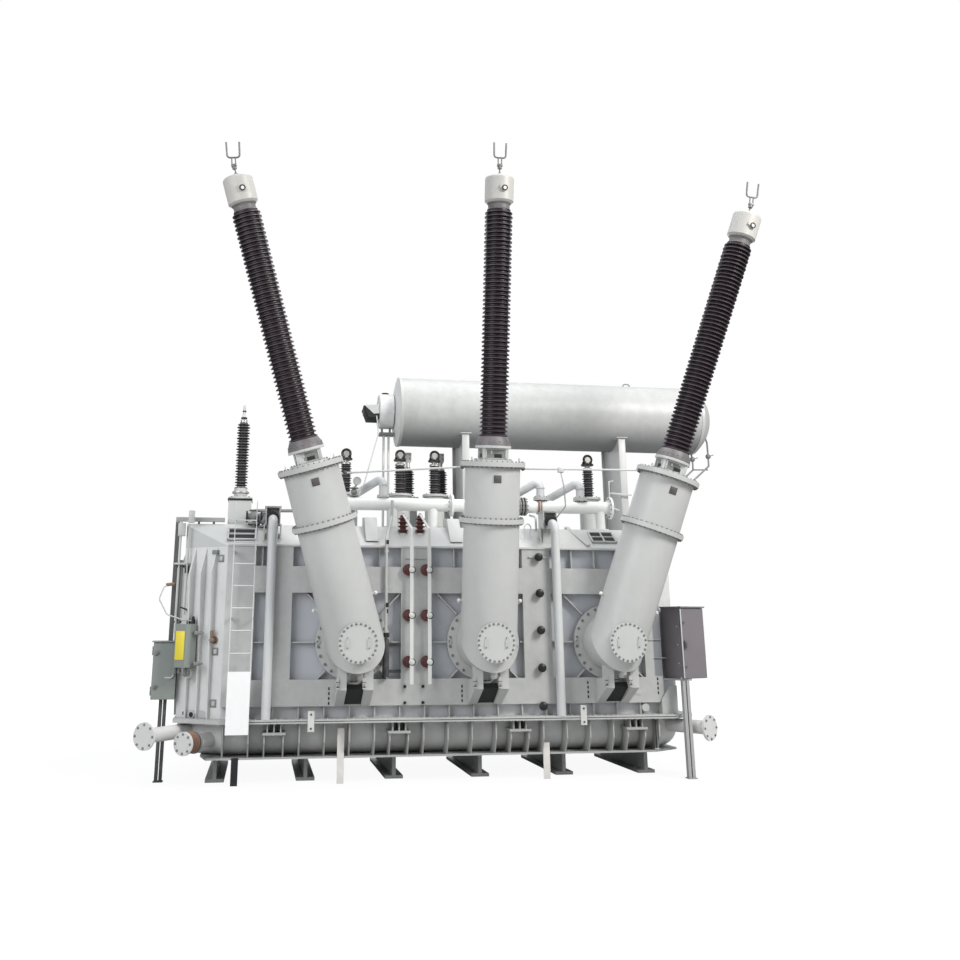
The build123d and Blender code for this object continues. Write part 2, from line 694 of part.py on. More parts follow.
def make_wall_ribs():
    """Write the thin ribs between the box stiffeners."""
    skirt = []
    depth = (FRONT - RIB_DEPTH, FRONT)
    rail_left = -TANK_LEFT_END + LEFT_CHAMFER_LENGTH
    for x in spaced((rail_left, RAIL_RIGHT_END), SKIRT_RIB_SPACING):
        skirt.append(block(around(x, RIB_THICKNESS), depth, (FLANGE_TOP, LOWER_RAIL_BOTTOM)))
    head = list(skirt)
    head_z = (UPPER_RAIL_BOTTOM + UPPER_RAIL_HEIGHT, WALL_TOP)
    for bay in bays():
        for x in spaced(bay, HEAD_RIB_SPACING):
            head.append(block(around(x, RIB_THICKNESS), depth, head_z))
    save("short_ribs", *mirrored(head))

    spokes = []
    lower_top = LOWER_RAIL_BOTTOM + LOWER_RAIL_HEIGHT
    ring = WALL_FLANGE_RADIUS + RIB_TO_FLANGE_GAP
    panel_top = UPPER_RAIL_BOTTOM
    for left, right in bays()[1:]:
        middle = (left + right) / 2
        phase_x = min((phase * PHASE_SPACING for _, phase, _ in PHASES), key=lambda x: abs(x - middle))
        frame = block((left, right), depth, (lower_top, panel_top))
        hub = Pos(phase_x, FRONT, TURRET_AXIS_HEIGHT) * Rot(QUARTER_TURN, 0, 0)
        opening = hub * Cylinder(ring, TANK_WIDTH)
        reach = PHASE_SPACING
        for angle in (0, DIAGONAL_RIB_ANGLE, -DIAGONAL_RIB_ANGLE):
            bar = Pos(phase_x, FRONT - RIB_DEPTH / 2, TURRET_AXIS_HEIGHT) * Rot(0, angle, 0)
            spokes.append((bar * Box(reach, RIB_DEPTH, RIB_THICKNESS) & frame) - opening)
    left, right = bays()[0]
    spokes.append(block((left, right), depth, around(TURRET_AXIS_HEIGHT, RIB_THICKNESS)))
    for left, right in bays():
        rear = (BACK, BACK + RIB_DEPTH)
        spokes.append(block((left, right), rear, around(TURRET_AXIS_HEIGHT, RIB_THICKNESS)))
    save("panel_ribs", *spokes)


def make_end_ribs():
    """Write the upright ribs of the chamfered corners and the end walls."""
    ribs = []
    turn = math.degrees(math.atan2(LEFT_CHAMFER_DEPTH, LEFT_CHAMFER_LENGTH))
    corner = Vector(-TANK_LEFT_END + LEFT_CHAMFER_LENGTH, FRONT)
    run = Vector(-LEFT_CHAMFER_LENGTH, LEFT_CHAMFER_DEPTH)
    side = [
        (0, FLANGE_TOP),
        (-END_RIB_FOOT, FLANGE_TOP),
        (-END_RIB_REACH, WALL_TOP - COVER_RISE),
        (0, WALL_TOP),
    ]
    face = make_face(Plane.YZ * Polyline(*side, close=True))
    plate = Pos(-END_RIB_THICKNESS / 2, 0, 0) * extrude(face, END_RIB_THICKNESS, dir=(1, 0, 0))
    for index in range(LEFT_CORNER_RIB_COUNT):
        place = corner + run * ((index + 1) / (LEFT_CORNER_RIB_COUNT + 1))
        ribs.append(Pos(place.X, place.Y, 0) * Rot(0, 0, -turn) * plate)
    ribs = mirrored(ribs)
    end_face = TANK_WIDTH - 2 * LEFT_CHAMFER_DEPTH
    for index in range(END_WALL_RIB_COUNT):
        y = -end_face / 2 + end_face * (index + 1) / (END_WALL_RIB_COUNT + 1)
        ribs.append(Pos(-TANK_LEFT_END, y, 0) * Rot(0, 0, -QUARTER_TURN) * plate)
        ribs.append(Pos(TANK_RIGHT_END, y, 0) * Rot(0, 0, QUARTER_TURN) * plate)
    save("end_ribs", *ribs)


def make_turrets():
    """Write the elbows, their upper sections, covers and legs."""
    stubs = []
    sections = []
    covers = []
    legs = []
    rail_top = LOWER_RAIL_BOTTOM + LOWER_RAIL_HEIGHT + SEAT_GAP
    for name, phase, splay in PHASES:
        x = phase * PHASE_SPACING
        wall = Plane(origin=(x, FRONT, TURRET_AXIS_HEIGHT), x_dir=(1, 0, 0), z_dir=(0, -1, 0))
        axis = turret_axis(phase, splay)
        mitre = Plane(origin=axis.origin, z_dir=wall.z_dir + axis.z_dir)
        above = mitre * Pos(0, 0, TURRET_LENGTH) * Box(*[2 * TURRET_LENGTH] * 3)

        drum_length = TURRET_ELBOW_REACH - WALL_NECK_LENGTH + TURRET_RADIUS
        drum = disc(wall, WALL_NECK_LENGTH, drum_length, TURRET_RADIUS)
        neck = disc(wall, 0, WALL_NECK_LENGTH, WALL_NECK_RADIUS)
        ring = disc(wall, WALL_NECK_LENGTH, WALL_FLANGE_THICKNESS, WALL_FLANGE_RADIUS)
        ring -= block(around(x, 2 * WALL_FLANGE_RADIUS), (STIFFENER_FACE, FRONT), (0, rail_top))
        stubs.append((neck + ring + drum) - above)

        body = disc(axis, -TURRET_RADIUS, TURRET_LENGTH + TURRET_RADIUS, TURRET_RADIUS)
        seam_at = TURRET_LENGTH - TURRET_FLANGE_THICKNESS
        seam = disc(axis, seam_at, TURRET_FLANGE_THICKNESS, TURRET_FLANGE_RADIUS)
        nozzle = disc(wall, TURRET_ELBOW_REACH, COVER_NECK_REACH, COVER_NECK_RADIUS)
        save(f"turret_{name}", (body + seam + nozzle) & above)
        cover_at = TURRET_ELBOW_REACH + COVER_NECK_REACH
        covers.append(disc(wall, cover_at, MANHOLE_COVER_THICKNESS, MANHOLE_COVER_RADIUS))

        section = disc(axis, TURRET_LENGTH, CT_SECTION_LENGTH, CT_SECTION_RADIUS)
        low = disc(axis, TURRET_LENGTH, TURRET_FLANGE_THICKNESS, TURRET_FLANGE_RADIUS)
        top = TURRET_LENGTH + CT_SECTION_LENGTH
        high = disc(axis, top - TURRET_FLANGE_THICKNESS, TURRET_FLANGE_THICKNESS, TURRET_FLANGE_RADIUS)
        sections.append(section + low + high)

        clear = disc(wall, 0, 2 * TURRET_ELBOW_REACH, TURRET_RADIUS + SEAT_GAP)
        for side in (-LEG_OFFSET, LEG_OFFSET):
            legs.append(turret_leg(x + side) - clear)
    save("turret_stubs", *stubs)
    save("current_transformer_sections", *sections)
    save("manhole_covers", *covers)
    save("turret_legs", *legs)


def turret_leg(x):
    """Return one box leg that runs down from the stub and back to the lower rail, uncut at its head."""
    top = TURRET_AXIS_HEIGHT - math.sqrt(TURRET_RADIUS**2 - (LEG_OFFSET + LEG_WIDTH / 2) ** 2)
    front = TURRET_AXIS_Y - LEG_DEPTH
    rear = TURRET_AXIS_Y
    rail_top = LOWER_RAIL_BOTTOM + LOWER_RAIL_HEIGHT
    outline = [
        (front, top),
        (front, LEG_FOOT_HEIGHT),
        (STIFFENER_FACE, LOWER_RAIL_BOTTOM),
        (STIFFENER_FACE, rail_top - LEG_FOOT_THICKNESS),
        (rear, LEG_FOOT_HEIGHT + LEG_FOOT_THICKNESS),
        (rear, top),
    ]
    return cross_plate(outline, x, LEG_WIDTH)


def make_bushings():
    """Write the high-voltage bushings on the turrets."""
    bases = []
    collars = []
    caps = []
    terminals = []
    for name, phase, splay in PHASES:
        axis = turret_axis(phase, splay)
        start = TURRET_LENGTH + CT_SECTION_LENGTH
        plate = disc(axis, start, TURRET_TOP_PLATE_THICKNESS, TURRET_FLANGE_RADIUS)
        raised_at = start + TURRET_TOP_PLATE_THICKNESS
        plate += disc(axis, raised_at, RAISED_PLATE_THICKNESS, RAISED_PLATE_RADIUS)

        box_at = raised_at + RAISED_PLATE_THICKNESS
        box = axis * Pos(0, 0, box_at + BUSHING_BOX_HEIGHT / 2)
        body = plate + box * Box(BUSHING_BOX_WIDTH, BUSHING_BOX_WIDTH, BUSHING_BOX_HEIGHT)
        recess = BUSHING_BOX_WIDTH / 4
        for side in (-1, 1):
            window = Pos(0, side * (BUSHING_BOX_WIDTH / 2 - recess / 2), 0)
            body -= box * window * Box(BUSHING_WINDOW_WIDTH, recess, BUSHING_WINDOW_HEIGHT)
        collar_at = box_at + BUSHING_BOX_HEIGHT
        bases.append(body)
        collar = disc(axis, collar_at, BUSHING_COLLAR_HEIGHT, BUSHING_COLLAR_RADIUS)
        collar_top = collar_at + BUSHING_COLLAR_HEIGHT
        collars.append(collar + disc(axis, collar_top, BUSHING_COLLAR_TOP_HEIGHT, BUSHING_COLLAR_TOP_RADIUS))

        porcelain_at = collar_top + BUSHING_COLLAR_TOP_HEIGHT
        outline = shed_outline(PORCELAIN_CORE_RADIUS, PORCELAIN_SHED_RADIUS, PORCELAIN_LENGTH,
                               PORCELAIN_SHED_COUNT, SHED_TIP_THICKNESS)
        save(f"bushing_{name}", spin(outline, axis * Pos(0, 0, porcelain_at)))

        neck_at = porcelain_at + PORCELAIN_LENGTH
        collars.append(disc(axis, neck_at, BUSHING_NECK_HEIGHT, BUSHING_NECK_RADIUS))
        cap_at = neck_at + BUSHING_NECK_HEIGHT
        profile = [
            (0, 0),
            (CAP_RADIUS - CAP_FOOT_CHAMFER, 0),
            (CAP_RADIUS, CAP_FOOT_CHAMFER),
            (CAP_RADIUS, CAP_HEIGHT),
            (0, CAP_HEIGHT),
        ]
        cap = spin(profile, axis * Pos(0, 0, cap_at))
        cap = fillet(cap.edges().group_by(Axis.Z)[-1], CAP_SHOULDER_ROUND)
        plug_end = CAP_RADIUS + CAP_SIDE_PLUG_LENGTH
        plug = axis * Pos(0, -plug_end / 2, cap_at + CAP_HEIGHT / 2) * Rot(QUARTER_TURN, 0, 0)
        caps.append(cap + plug * Cylinder(CAP_SIDE_PLUG_RADIUS, plug_end))
        terminals.append(line_terminal(axis * Pos(0, 0, cap_at + CAP_HEIGHT)))
    save("bushing_bases", *bases)
    save("bushing_collars", *collars)
    save("bushing_caps", *caps)
    save("line_terminals", *terminals)


def line_terminal(seat):
    """Return a stem with a ring and a forked clamp on top."""
    middle = seat * Pos(0, 0, TERMINAL_STEM_LENGTH / 2)
    stem = middle * Cylinder(TERMINAL_STEM_RADIUS, TERMINAL_STEM_LENGTH)
    ring = middle * Cylinder(TERMINAL_RING_RADIUS, TERMINAL_RING_THICKNESS)
    yoke_height = TERMINAL_STEM_LENGTH + TERMINAL_YOKE_THICKNESS / 2
    yoke = Box(TERMINAL_YOKE_WIDTH, TERMINAL_YOKE_THICKNESS, TERMINAL_YOKE_THICKNESS)
    yoke = seat * Pos(0, 0, yoke_height) * yoke
    terminal = stem + ring + yoke
    finger_height = TERMINAL_STEM_LENGTH + TERMINAL_FINGER_LENGTH / 2
    reach = (TERMINAL_YOKE_WIDTH - TERMINAL_YOKE_THICKNESS) / 2
    for side in (-reach, reach):
        finger = seat * Pos(side, 0, finger_height)
        terminal += finger * Box(TERMINAL_YOKE_THICKNESS, TERMINAL_YOKE_THICKNESS, TERMINAL_FINGER_LENGTH)
    return terminal


def dished_head(dish):
    """Return a dished end that bulges along +Z from its rim."""
    ball_radius = (CONSERVATOR_RADIUS**2 + dish**2) / (2 * dish)
    centre = Pos(0, 0, dish - ball_radius)
    limit = disc(Plane.XY, 0, dish, CONSERVATOR_RADIUS)
    return (centre * Sphere(ball_radius) & limit) - centre * Sphere(ball_radius - HEAD_THICKNESS)


def make_conservator():
    """Write the conservator, its ends, gauge and supports."""
    start = Plane(origin=(CONSERVATOR_LEFT, CONSERVATOR_AXIS_Y, CONSERVATOR_AXIS_HEIGHT), z_dir=(1, 0, 0))
    end = Plane(origin=(CONSERVATOR_RIGHT, CONSERVATOR_AXIS_Y, CONSERVATOR_AXIS_HEIGHT), z_dir=(1, 0, 0))
    back = Plane(origin=(CONSERVATOR_LEFT, CONSERVATOR_AXIS_Y, CONSERVATOR_AXIS_HEIGHT), z_dir=(-1, 0, 0))
    length = CONSERVATOR_RIGHT - CONSERVATOR_LEFT
    shell = disc(start, 0, length, CONSERVATOR_RADIUS)
    shell -= disc(start, -OVERRUN, length + 2 * OVERRUN, CONSERVATOR_RADIUS - CONSERVATOR_WALL)
    save("conservator_shell", shell)
    save("conservator_heads", back * dished_head(LEFT_HEAD_DISH), end * dished_head(RIGHT_HEAD_DISH))

    drum_start = LEFT_HEAD_DISH + SEAT_GAP
    drum = disc(back, drum_start, TAP_CONSERVATOR_LENGTH, TAP_CONSERVATOR_RADIUS)
    drum = fillet(drum.edges().sort_by(Axis.X)[0], TAP_CONSERVATOR_EDGE)
    save("tap_changer_conservator", drum)
    neck_at = drum_start + TAP_CONSERVATOR_LENGTH
    neck = disc(back, neck_at, LEVEL_GAUGE_NECK_LENGTH, LEVEL_GAUGE_NECK_RADIUS)
    gauge = disc(back, neck_at + LEVEL_GAUGE_NECK_LENGTH, LEVEL_GAUGE_LENGTH, LEVEL_GAUGE_RADIUS)
    save("level_gauge", neck + gauge)

    supports = []
    barrel = Plane(origin=(CONSERVATOR_LEFT, CONSERVATOR_AXIS_Y, CONSERVATOR_AXIS_HEIGHT), z_dir=(1, 0, 0))
    hollow = disc(barrel, 0, length, CONSERVATOR_RADIUS + SEAT_GAP)
    height = (DECK, CONSERVATOR_AXIS_HEIGHT - CONSERVATOR_RADIUS / 2)
    for x in (SUPPORT_LEFT_X, SUPPORT_RIGHT_X):
        web = block(around(x, SUPPORT_PLATE_THICKNESS), (SUPPORT_FRONT_Y, SUPPORT_REAR_Y), height)
        for y in (SUPPORT_FRONT_Y, SUPPORT_REAR_Y):
            web += block(around(x, SUPPORT_FLANGE_WIDTH), around(y, SUPPORT_PLATE_THICKNESS), height)
        supports.append(web - hollow)
    save("conservator_supports", *supports)


def make_header():
    """Write the oil header along the cover with its stubs and risers."""
    height = DECK + HEADER_AXIS_RISE
    run = Plane(origin=(HEADER_LEFT, HEADER_AXIS_Y, height), z_dir=(1, 0, 0))
    length = HEADER_RIGHT - HEADER_LEFT
    header = disc(run, 0, length, HEADER_RADIUS)
    for place in (0, HEADER_FLANGE_PLACE_SHARE * length, length - HEADER_FLANGE_THICKNESS):
        header += disc(run, place, HEADER_FLANGE_THICKNESS, HEADER_FLANGE_RADIUS)
    for share in HEADER_STUB_PLACES_SHARES:
        foot = Plane(origin=(share * PHASE_SPACING, HEADER_AXIS_Y, DECK), z_dir=(0, 0, 1))
        header += disc(foot, 0, HEADER_AXIS_RISE, HEADER_STUB_RADIUS)
        header += disc(foot, 0, HEADER_FLANGE_THICKNESS, HEADER_STUB_FLANGE_RADIUS)
    save("oil_header", header)

    risers = []
    clear = disc(run, 0, length, HEADER_RADIUS + SEAT_GAP)
    for share in RISER_PLACES_SHARES:
        x = share * PHASE_SPACING
        points = [
            (x, HEADER_AXIS_Y, height),
            (x, HEADER_AXIS_Y, height + RISER_RISE),
            (x - RISER_SIDE, HEADER_AXIS_Y + RISER_BACK, height + RISER_RISE),
            (x - RISER_SIDE, HEADER_AXIS_Y + RISER_BACK, DECK),
        ]
        risers.append(pipe(points, RISER_RADIUS, RISER_BEND) - clear)
    save("oil_risers", *risers)


def make_relief_pipes():
    """Write the pressure relief hoods and their drain pipes."""
    pipes = []
    hoods = []
    y = FRONT - RELIEF_AXIS_OFFSET
    hood_y = y + RELIEF_BACK
    mouth_end = hood_y + HOOD_MOUTH_DEPTH
    hood_z = around(RELIEF_TOP_HEIGHT + HOOD_RISE / 2, HOOD_HEIGHT)
    for x in (RELIEF_LEFT_X, RELIEF_RIGHT_X):
        points = [
            (x, y, FLANGE_TOP + SEAT_GAP),
            (x, y, RELIEF_TOP_HEIGHT),
            (x, mouth_end - SEAT_GAP, RELIEF_TOP_HEIGHT),
        ]
        pipes.append(pipe(points, RELIEF_RADIUS, RELIEF_BEND))
        hood = block(around(x, HOOD_WIDTH), (hood_y, hood_y + HOOD_DEPTH), hood_z)
        mouth_z = (hood_z[0] - OVERRUN, hood_z[1] - HOOD_WALL)
        hood -= block(around(x, HOOD_WIDTH - 2 * HOOD_WALL), (hood_y - OVERRUN, mouth_end), mouth_z)
        foot = block(around(x, HOOD_SADDLE_WIDTH), (mouth_end, hood_y + HOOD_DEPTH),
                     (cover_height_at(mouth_end), RELIEF_TOP_HEIGHT))
        hoods.append(hood + foot)
    save("relief_pipes", *pipes)
    cover = cross_plate([(FRONT, WALL_TOP), (FRONT + COVER_SLOPE_RUN, DECK), (BACK, DECK), (BACK, WALL_TOP)],
                        0, 2 * TANK_LEFT_END)
    save("relief_hoods", *[hood - cover for hood in hoods])


def cover_height_at(y):
    """Return the height of the cover's front slope above a place in Y."""
    return min(DECK, WALL_TOP + (y - FRONT) * COVER_RISE / COVER_SLOPE_RUN)


def make_ladder():
    """Write the ladder and its blank lower board."""
    y = FRONT - LADDER_OFFSET
    y_range = around(y, LADDER_RAIL_DEPTH)
    left = LADDER_LEFT
    right = LADDER_LEFT + LADDER_WIDTH
    ladder = block((left, left + LADDER_RAIL_THICKNESS), y_range, (LADDER_BOTTOM, LADDER_TOP))
    ladder += block((right - LADDER_RAIL_THICKNESS, right), y_range, (LADDER_BOTTOM, LADDER_TOP))
    count = int((LADDER_TOP - LADDER_BOTTOM) / RUNG_SPACING)
    for index in range(count):
        z = LADDER_BOTTOM + RUNG_FIRST_RISE + index * RUNG_SPACING
        ladder += rod((left, y, z), (right, y, z), RUNG_RADIUS)
    for share in LADDER_CLEAT_HEIGHTS_SHARES:
        z = LADDER_BOTTOM + share * (LADDER_TOP - LADDER_BOTTOM)
        for x in (left + LADDER_RAIL_THICKNESS / 2, right - LADDER_RAIL_THICKNESS / 2):
            cleat_z = around(z, LADDER_RAIL_DEPTH)
            ladder += block(around(x, LADDER_RAIL_THICKNESS), (y, STIFFENER_FACE), cleat_z)
    save("ladder", ladder)
    face = y - LADDER_RAIL_DEPTH / 2
    board = block((left, right), (face - LADDER_BOARD_THICKNESS, face),
                  (LADDER_BOARD_BOTTOM, LADDER_BOARD_BOTTOM + LADDER_BOARD_HEIGHT))
    save("ladder_board", board)


def make_small_bushings():
    """Write the neutral bushing and the low-voltage bushings on the cover."""
    box = block(around(NEUTRAL_X, NEUTRAL_BOX_WIDTH), around(NEUTRAL_Y, NEUTRAL_BOX_WIDTH),
                (DECK, DECK + NEUTRAL_BOX_HEIGHT))
    seat = Plane(origin=(NEUTRAL_X, NEUTRAL_Y, DECK + NEUTRAL_BOX_HEIGHT))
    base = disc(seat, NEUTRAL_FLANGE_THICKNESS, NEUTRAL_BASE_HEIGHT, NEUTRAL_BASE_RADIUS)
    turrets = [box + disc(seat, 0, NEUTRAL_FLANGE_THICKNESS, NEUTRAL_FLANGE_RADIUS) + base]
    porcelain_at = NEUTRAL_FLANGE_THICKNESS + NEUTRAL_BASE_HEIGHT
    outline = shed_outline(NEUTRAL_CORE_RADIUS, NEUTRAL_SHED_RADIUS, NEUTRAL_PORCELAIN_LENGTH,
                           NEUTRAL_SHED_COUNT, SHED_TIP_THICKNESS)
    porcelains = [spin(outline, seat * Pos(0, 0, porcelain_at))]
    cap_at = porcelain_at + NEUTRAL_PORCELAIN_LENGTH
    cap = disc(seat, cap_at, NEUTRAL_CAP_HEIGHT, NEUTRAL_CAP_RADIUS)
    cap += disc(seat, cap_at + NEUTRAL_CAP_HEIGHT, NEUTRAL_PIN_LENGTH, NEUTRAL_PIN_RADIUS)
    caps = [cap]
    outline = shed_outline(LV_CORE_RADIUS, LV_SHED_RADIUS, LV_PORCELAIN_LENGTH,
                           LV_SHED_COUNT, SHED_TIP_THICKNESS)
    places = [(share, LV_AXIS_Y) for share in LV_PLACES_SHARES]
    places += [(share, LV_REAR_AXIS_Y) for share in LV_REAR_PLACES_SHARES]
    for share, y in places:
        foot = Plane(origin=(share * PHASE_SPACING, y, DECK))
        rim = disc(foot, LV_BASE_HEIGHT, LV_BASE_FLANGE_THICKNESS, LV_BASE_FLANGE_RADIUS)
        turrets.append(disc(foot, 0, LV_BASE_HEIGHT, LV_BASE_RADIUS) + rim)
        start = LV_BASE_HEIGHT + LV_BASE_FLANGE_THICKNESS
        porcelains.append(spin(outline, foot * Pos(0, 0, start)))
        cap_at = start + LV_PORCELAIN_LENGTH
        cap = disc(foot, cap_at, LV_CAP_HEIGHT, LV_CAP_RADIUS)
        palm = foot * Pos(0, 0, cap_at + LV_CAP_HEIGHT + LV_PALM_HEIGHT / 2)
        caps.append(cap + palm * Box(LV_PALM_WIDTH, LV_PALM_THICKNESS, LV_PALM_HEIGHT))
    save("small_bushing_turrets", *turrets)
    save("small_bushings", *porcelains)
    save("small_bushing_terminals", *caps)


def insulator_outline(core, shed, length):
    """Return the profile of a short insulator with two sheds."""
    waist = length / 5
    return [
        (0, 0),
        (core, 0),
        (core, waist),
        (shed, 2 * waist),
        (core, 2 * waist + waist / 2),
        (shed, 4 * waist),
        (core, length - waist / 2),
        (core, length),
        (0, length),
    ]


def make_earthing():
    """Write the earth bars, their insulators and the standoff knobs."""
    outline = insulator_outline(POST_INSULATOR_RADIUS, POST_INSULATOR_SHED_RADIUS, POST_INSULATOR_LENGTH)
    bars = []
    insulators = []
    bar_back = STIFFENER_FACE - POST_INSULATOR_LENGTH
    for x in EARTH_BAR_PLACES:
        bars.append(block(around(x, EARTH_BAR_WIDTH), (bar_back - EARTH_BAR_THICKNESS, bar_back),
                          (EARTH_BAR_BOTTOM, EARTH_BAR_TOP)))
        for index in range(POST_INSULATOR_COUNT):
            z = FLANGE_TOP + POST_INSULATOR_LOWEST_RISE + index * POST_INSULATOR_SPACING
            spot = (x - POST_INSULATOR_OFFSET, STIFFENER_FACE, z)
            insulators.append(spin(outline, Plane(origin=spot, x_dir=(1, 0, 0), z_dir=(0, -1, 0))))
    save("earth_bars", *bars)

    outline = insulator_outline(EARTH_BUSHING_RADIUS, EARTH_BUSHING_SHED_RADIUS, EARTH_BUSHING_HEIGHT)
    slope_cut = cross_plate([(FRONT, WALL_TOP), (FRONT + COVER_SLOPE_RUN, DECK), (0, DECK), (0, WALL_TOP)],
                            0, TANK_LEFT_END)
    for x in EARTH_BUSHING_PLACES:
        seat = Plane(origin=(x, EARTH_BUSHING_Y, cover_height_at(EARTH_BUSHING_Y - EARTH_BUSHING_RADIUS)))
        insulators.append(spin(outline, seat) - slope_cut)
    save("earth_insulators", *insulators)

    knobs = []
    for index in range(KNOB_COUNT):
        spot = (KNOB_STILE_CENTRE + KNOB_OFFSET, STIFFENER_FACE, KNOB_LOWEST_HEIGHT + index * KNOB_SPACING)
        wall = Plane(origin=spot, x_dir=(1, 0, 0), z_dir=(0, -1, 0))
        knob = disc(wall, 0, KNOB_LENGTH, KNOB_RADIUS)
        knobs.append(fillet(knob.edges().sort_by(Axis.Y)[0], KNOB_RADIUS / 2))
    save("standoff_knobs", *knobs)


def make_breather():
    """Write the breather on arms from the earth bar stile."""
    y = STIFFENER_FACE - BREATHER_RADIUS
    top = BREATHER_BOTTOM + BREATHER_HEIGHT
    breather = rod((BREATHER_X, y, BREATHER_BOTTOM), (BREATHER_X, y, top), BREATHER_RADIUS)
    pipe_top = WALL_TOP - BREATHER_PIPE_DROP
    breather += rod((BREATHER_X, y, top), (BREATHER_X, y, pipe_top), BREATHER_PIPE_RADIUS)
    arm_x = (BREATHER_X - BREATHER_RADIUS / 2, EARTH_STILE_CENTRE - EARTH_STILE_WIDTH / 2 - SEAT_GAP)
    arm_y = (STIFFENER_FACE, STIFFENER_FACE + BREATHER_ARM_THICKNESS)
    for share in BREATHER_ARM_HEIGHTS_SHARES:
        z = BREATHER_BOTTOM + share * BREATHER_HEIGHT
        breather += block(arm_x, arm_y, around(z, BREATHER_ARM_HEIGHT))
        hold = (STIFFENER_FACE - BREATHER_RADIUS, STIFFENER_FACE)
        breather += block(around(BREATHER_X, BREATHER_RADIUS), hold, around(z, BREATHER_ARM_HEIGHT))
    save("breather", breather)


def cabinet_solids(width, depth, height):
    """Return a cabinet's shell with its roof, and its door, hinged at the right of the front."""
    shell = block((0, width), (DOOR_THICKNESS + DOOR_CLEARANCE, depth), (0, height))
    inner = block(
        (CABINET_WALL, width - CABINET_WALL),
        (0, depth - CABINET_WALL),
        (CABINET_WALL, height - CABINET_WALL),
    )
    shell -= inner
    shell += block((-ROOF_OVERHANG, width + ROOF_OVERHANG), (-ROOF_OVERHANG, depth),
                   (height, height + ROOF_THICKNESS))
    door = block((0, width), (0, DOOR_THICKNESS), (DOOR_CLEARANCE, height - DOOR_CLEARANCE))
    pin_x = width + HINGE_STANDOFF
    pin_y = DOOR_THICKNESS + DOOR_CLEARANCE / 2
    for share in HINGE_HEIGHTS_SHARES:
        z = share * height
        barrel = rod((pin_x, pin_y, z), (pin_x, pin_y, z + HINGE_LENGTH), HINGE_RADIUS)
        leaf_y = (DOOR_THICKNESS / 2, DOOR_THICKNESS)
        leaf = block((width - CABINET_WALL, pin_x), leaf_y, (z, z + HINGE_LENGTH))
        door += barrel + leaf
        seat = z - SEAT_GAP
        foot = seat - HINGE_LENGTH
        shell += rod((pin_x, pin_y, foot), (pin_x, pin_y, seat), HINGE_RADIUS)
        shell += block((width - CABINET_WALL, pin_x), (pin_y, pin_y + HINGE_LEAF_LENGTH), (foot, seat))
    return shell, door


def post(x, y, top):
    """Return a double channel post on a foot plate."""
    reach = POST_CHANNEL_GAP / 2 + POST_CHANNEL_WIDTH
    depth = around(y, POST_CHANNEL_DEPTH)
    height = (POST_FOOT_THICKNESS, top)
    left = block((x - reach, x - POST_CHANNEL_GAP / 2), depth, height)
    right = block((x + POST_CHANNEL_GAP / 2, x + reach), depth, height)
    foot = block(around(x, POST_FOOT_WIDTH), around(y, POST_FOOT_WIDTH), (0, POST_FOOT_THICKNESS))
    return left + right + foot


def make_boxes():
    """Write the control cabinet, the boxes on the left and their posts."""
    place = Pos(*CABINET_ORIGIN) * Rot(0, 0, CABINET_TURN_ANGLE)
    shell, door = cabinet_solids(CABINET_WIDTH, CABINET_DEPTH, CABINET_HEIGHT)
    save("cabinet_shell", place * shell)
    save("cabinet_door", place * door)

    left_place = Pos(LEFT_BOX_X + LEFT_BOX_WIDTH, LEFT_BOX_Y, LEFT_BOX_BOTTOM)
    left_solids = cabinet_solids(LEFT_BOX_WIDTH, LEFT_BOX_DEPTH, LEFT_BOX_HEIGHT)
    shell, door = [left_place * mirror(solid, about=Plane.YZ) for solid in left_solids]
    save("terminal_box", shell)
    save("terminal_box_door", door)

    corner = (place * Pos(POST_INSET, POST_INSET, 0)).position
    rail_end = RAIL_RIGHT_END + SEAT_GAP
    shelf_right = corner.X + 2 * POST_INSET
    outline = [
        (rail_end, STIFFENER_FACE),
        (corner.X - POST_INSET, corner.Y - POST_INSET / 2),
        (shelf_right, corner.Y - POST_INSET / 2),
        (shelf_right, FRONT),
        (rail_end, FRONT),
    ]
    shelf = slab(outline, CABINET_BOTTOM - SHELF_THICKNESS, SHELF_THICKNESS)
    cabinet_post = post(corner.X, corner.Y, CABINET_BOTTOM - SHELF_THICKNESS) + shelf
    box_x = LEFT_BOX_X + LEFT_BOX_WIDTH / 2
    box_y = LEFT_BOX_Y + LEFT_BOX_DEPTH / 2
    save("box_posts", cabinet_post, post(box_x, box_y, LEFT_BOX_BOTTOM))

    turn = math.degrees(math.atan2(LEFT_CHAMFER_DEPTH, LEFT_CHAMFER_LENGTH))
    corner = Vector(-TANK_LEFT_END + LEFT_CHAMFER_LENGTH, FRONT)
    run = Vector(-LEFT_CHAMFER_LENGTH, LEFT_CHAMFER_DEPTH)
    spot = corner + run * RELAY_BOX_SHARE
    relay_place = Pos(spot.X, spot.Y, RELAY_BOX_BOTTOM) * Rot(0, 0, -turn)
    standoff = END_RIB_REACH + SEAT_GAP
    depth = (-standoff - RELAY_BOX_DEPTH, -standoff)
    relay = block(around(0, RELAY_BOX_WIDTH), depth, (0, RELAY_BOX_HEIGHT))
    relay = fillet(relay.edges().filter_by(Axis.Z).group_by(Axis.Y)[0], RELAY_BOX_ROUND)
    for offset in RELAY_ARM_OFFSETS:
        for z in (RELAY_ARM_HEIGHT, RELAY_BOX_HEIGHT - RELAY_ARM_HEIGHT):
            arm_z = around(z, RELAY_ARM_HEIGHT)
            relay += block(around(offset, RELAY_ARM_HEIGHT), (-standoff, -SEAT_GAP), arm_z)
    save("relay_box", relay_place * relay)


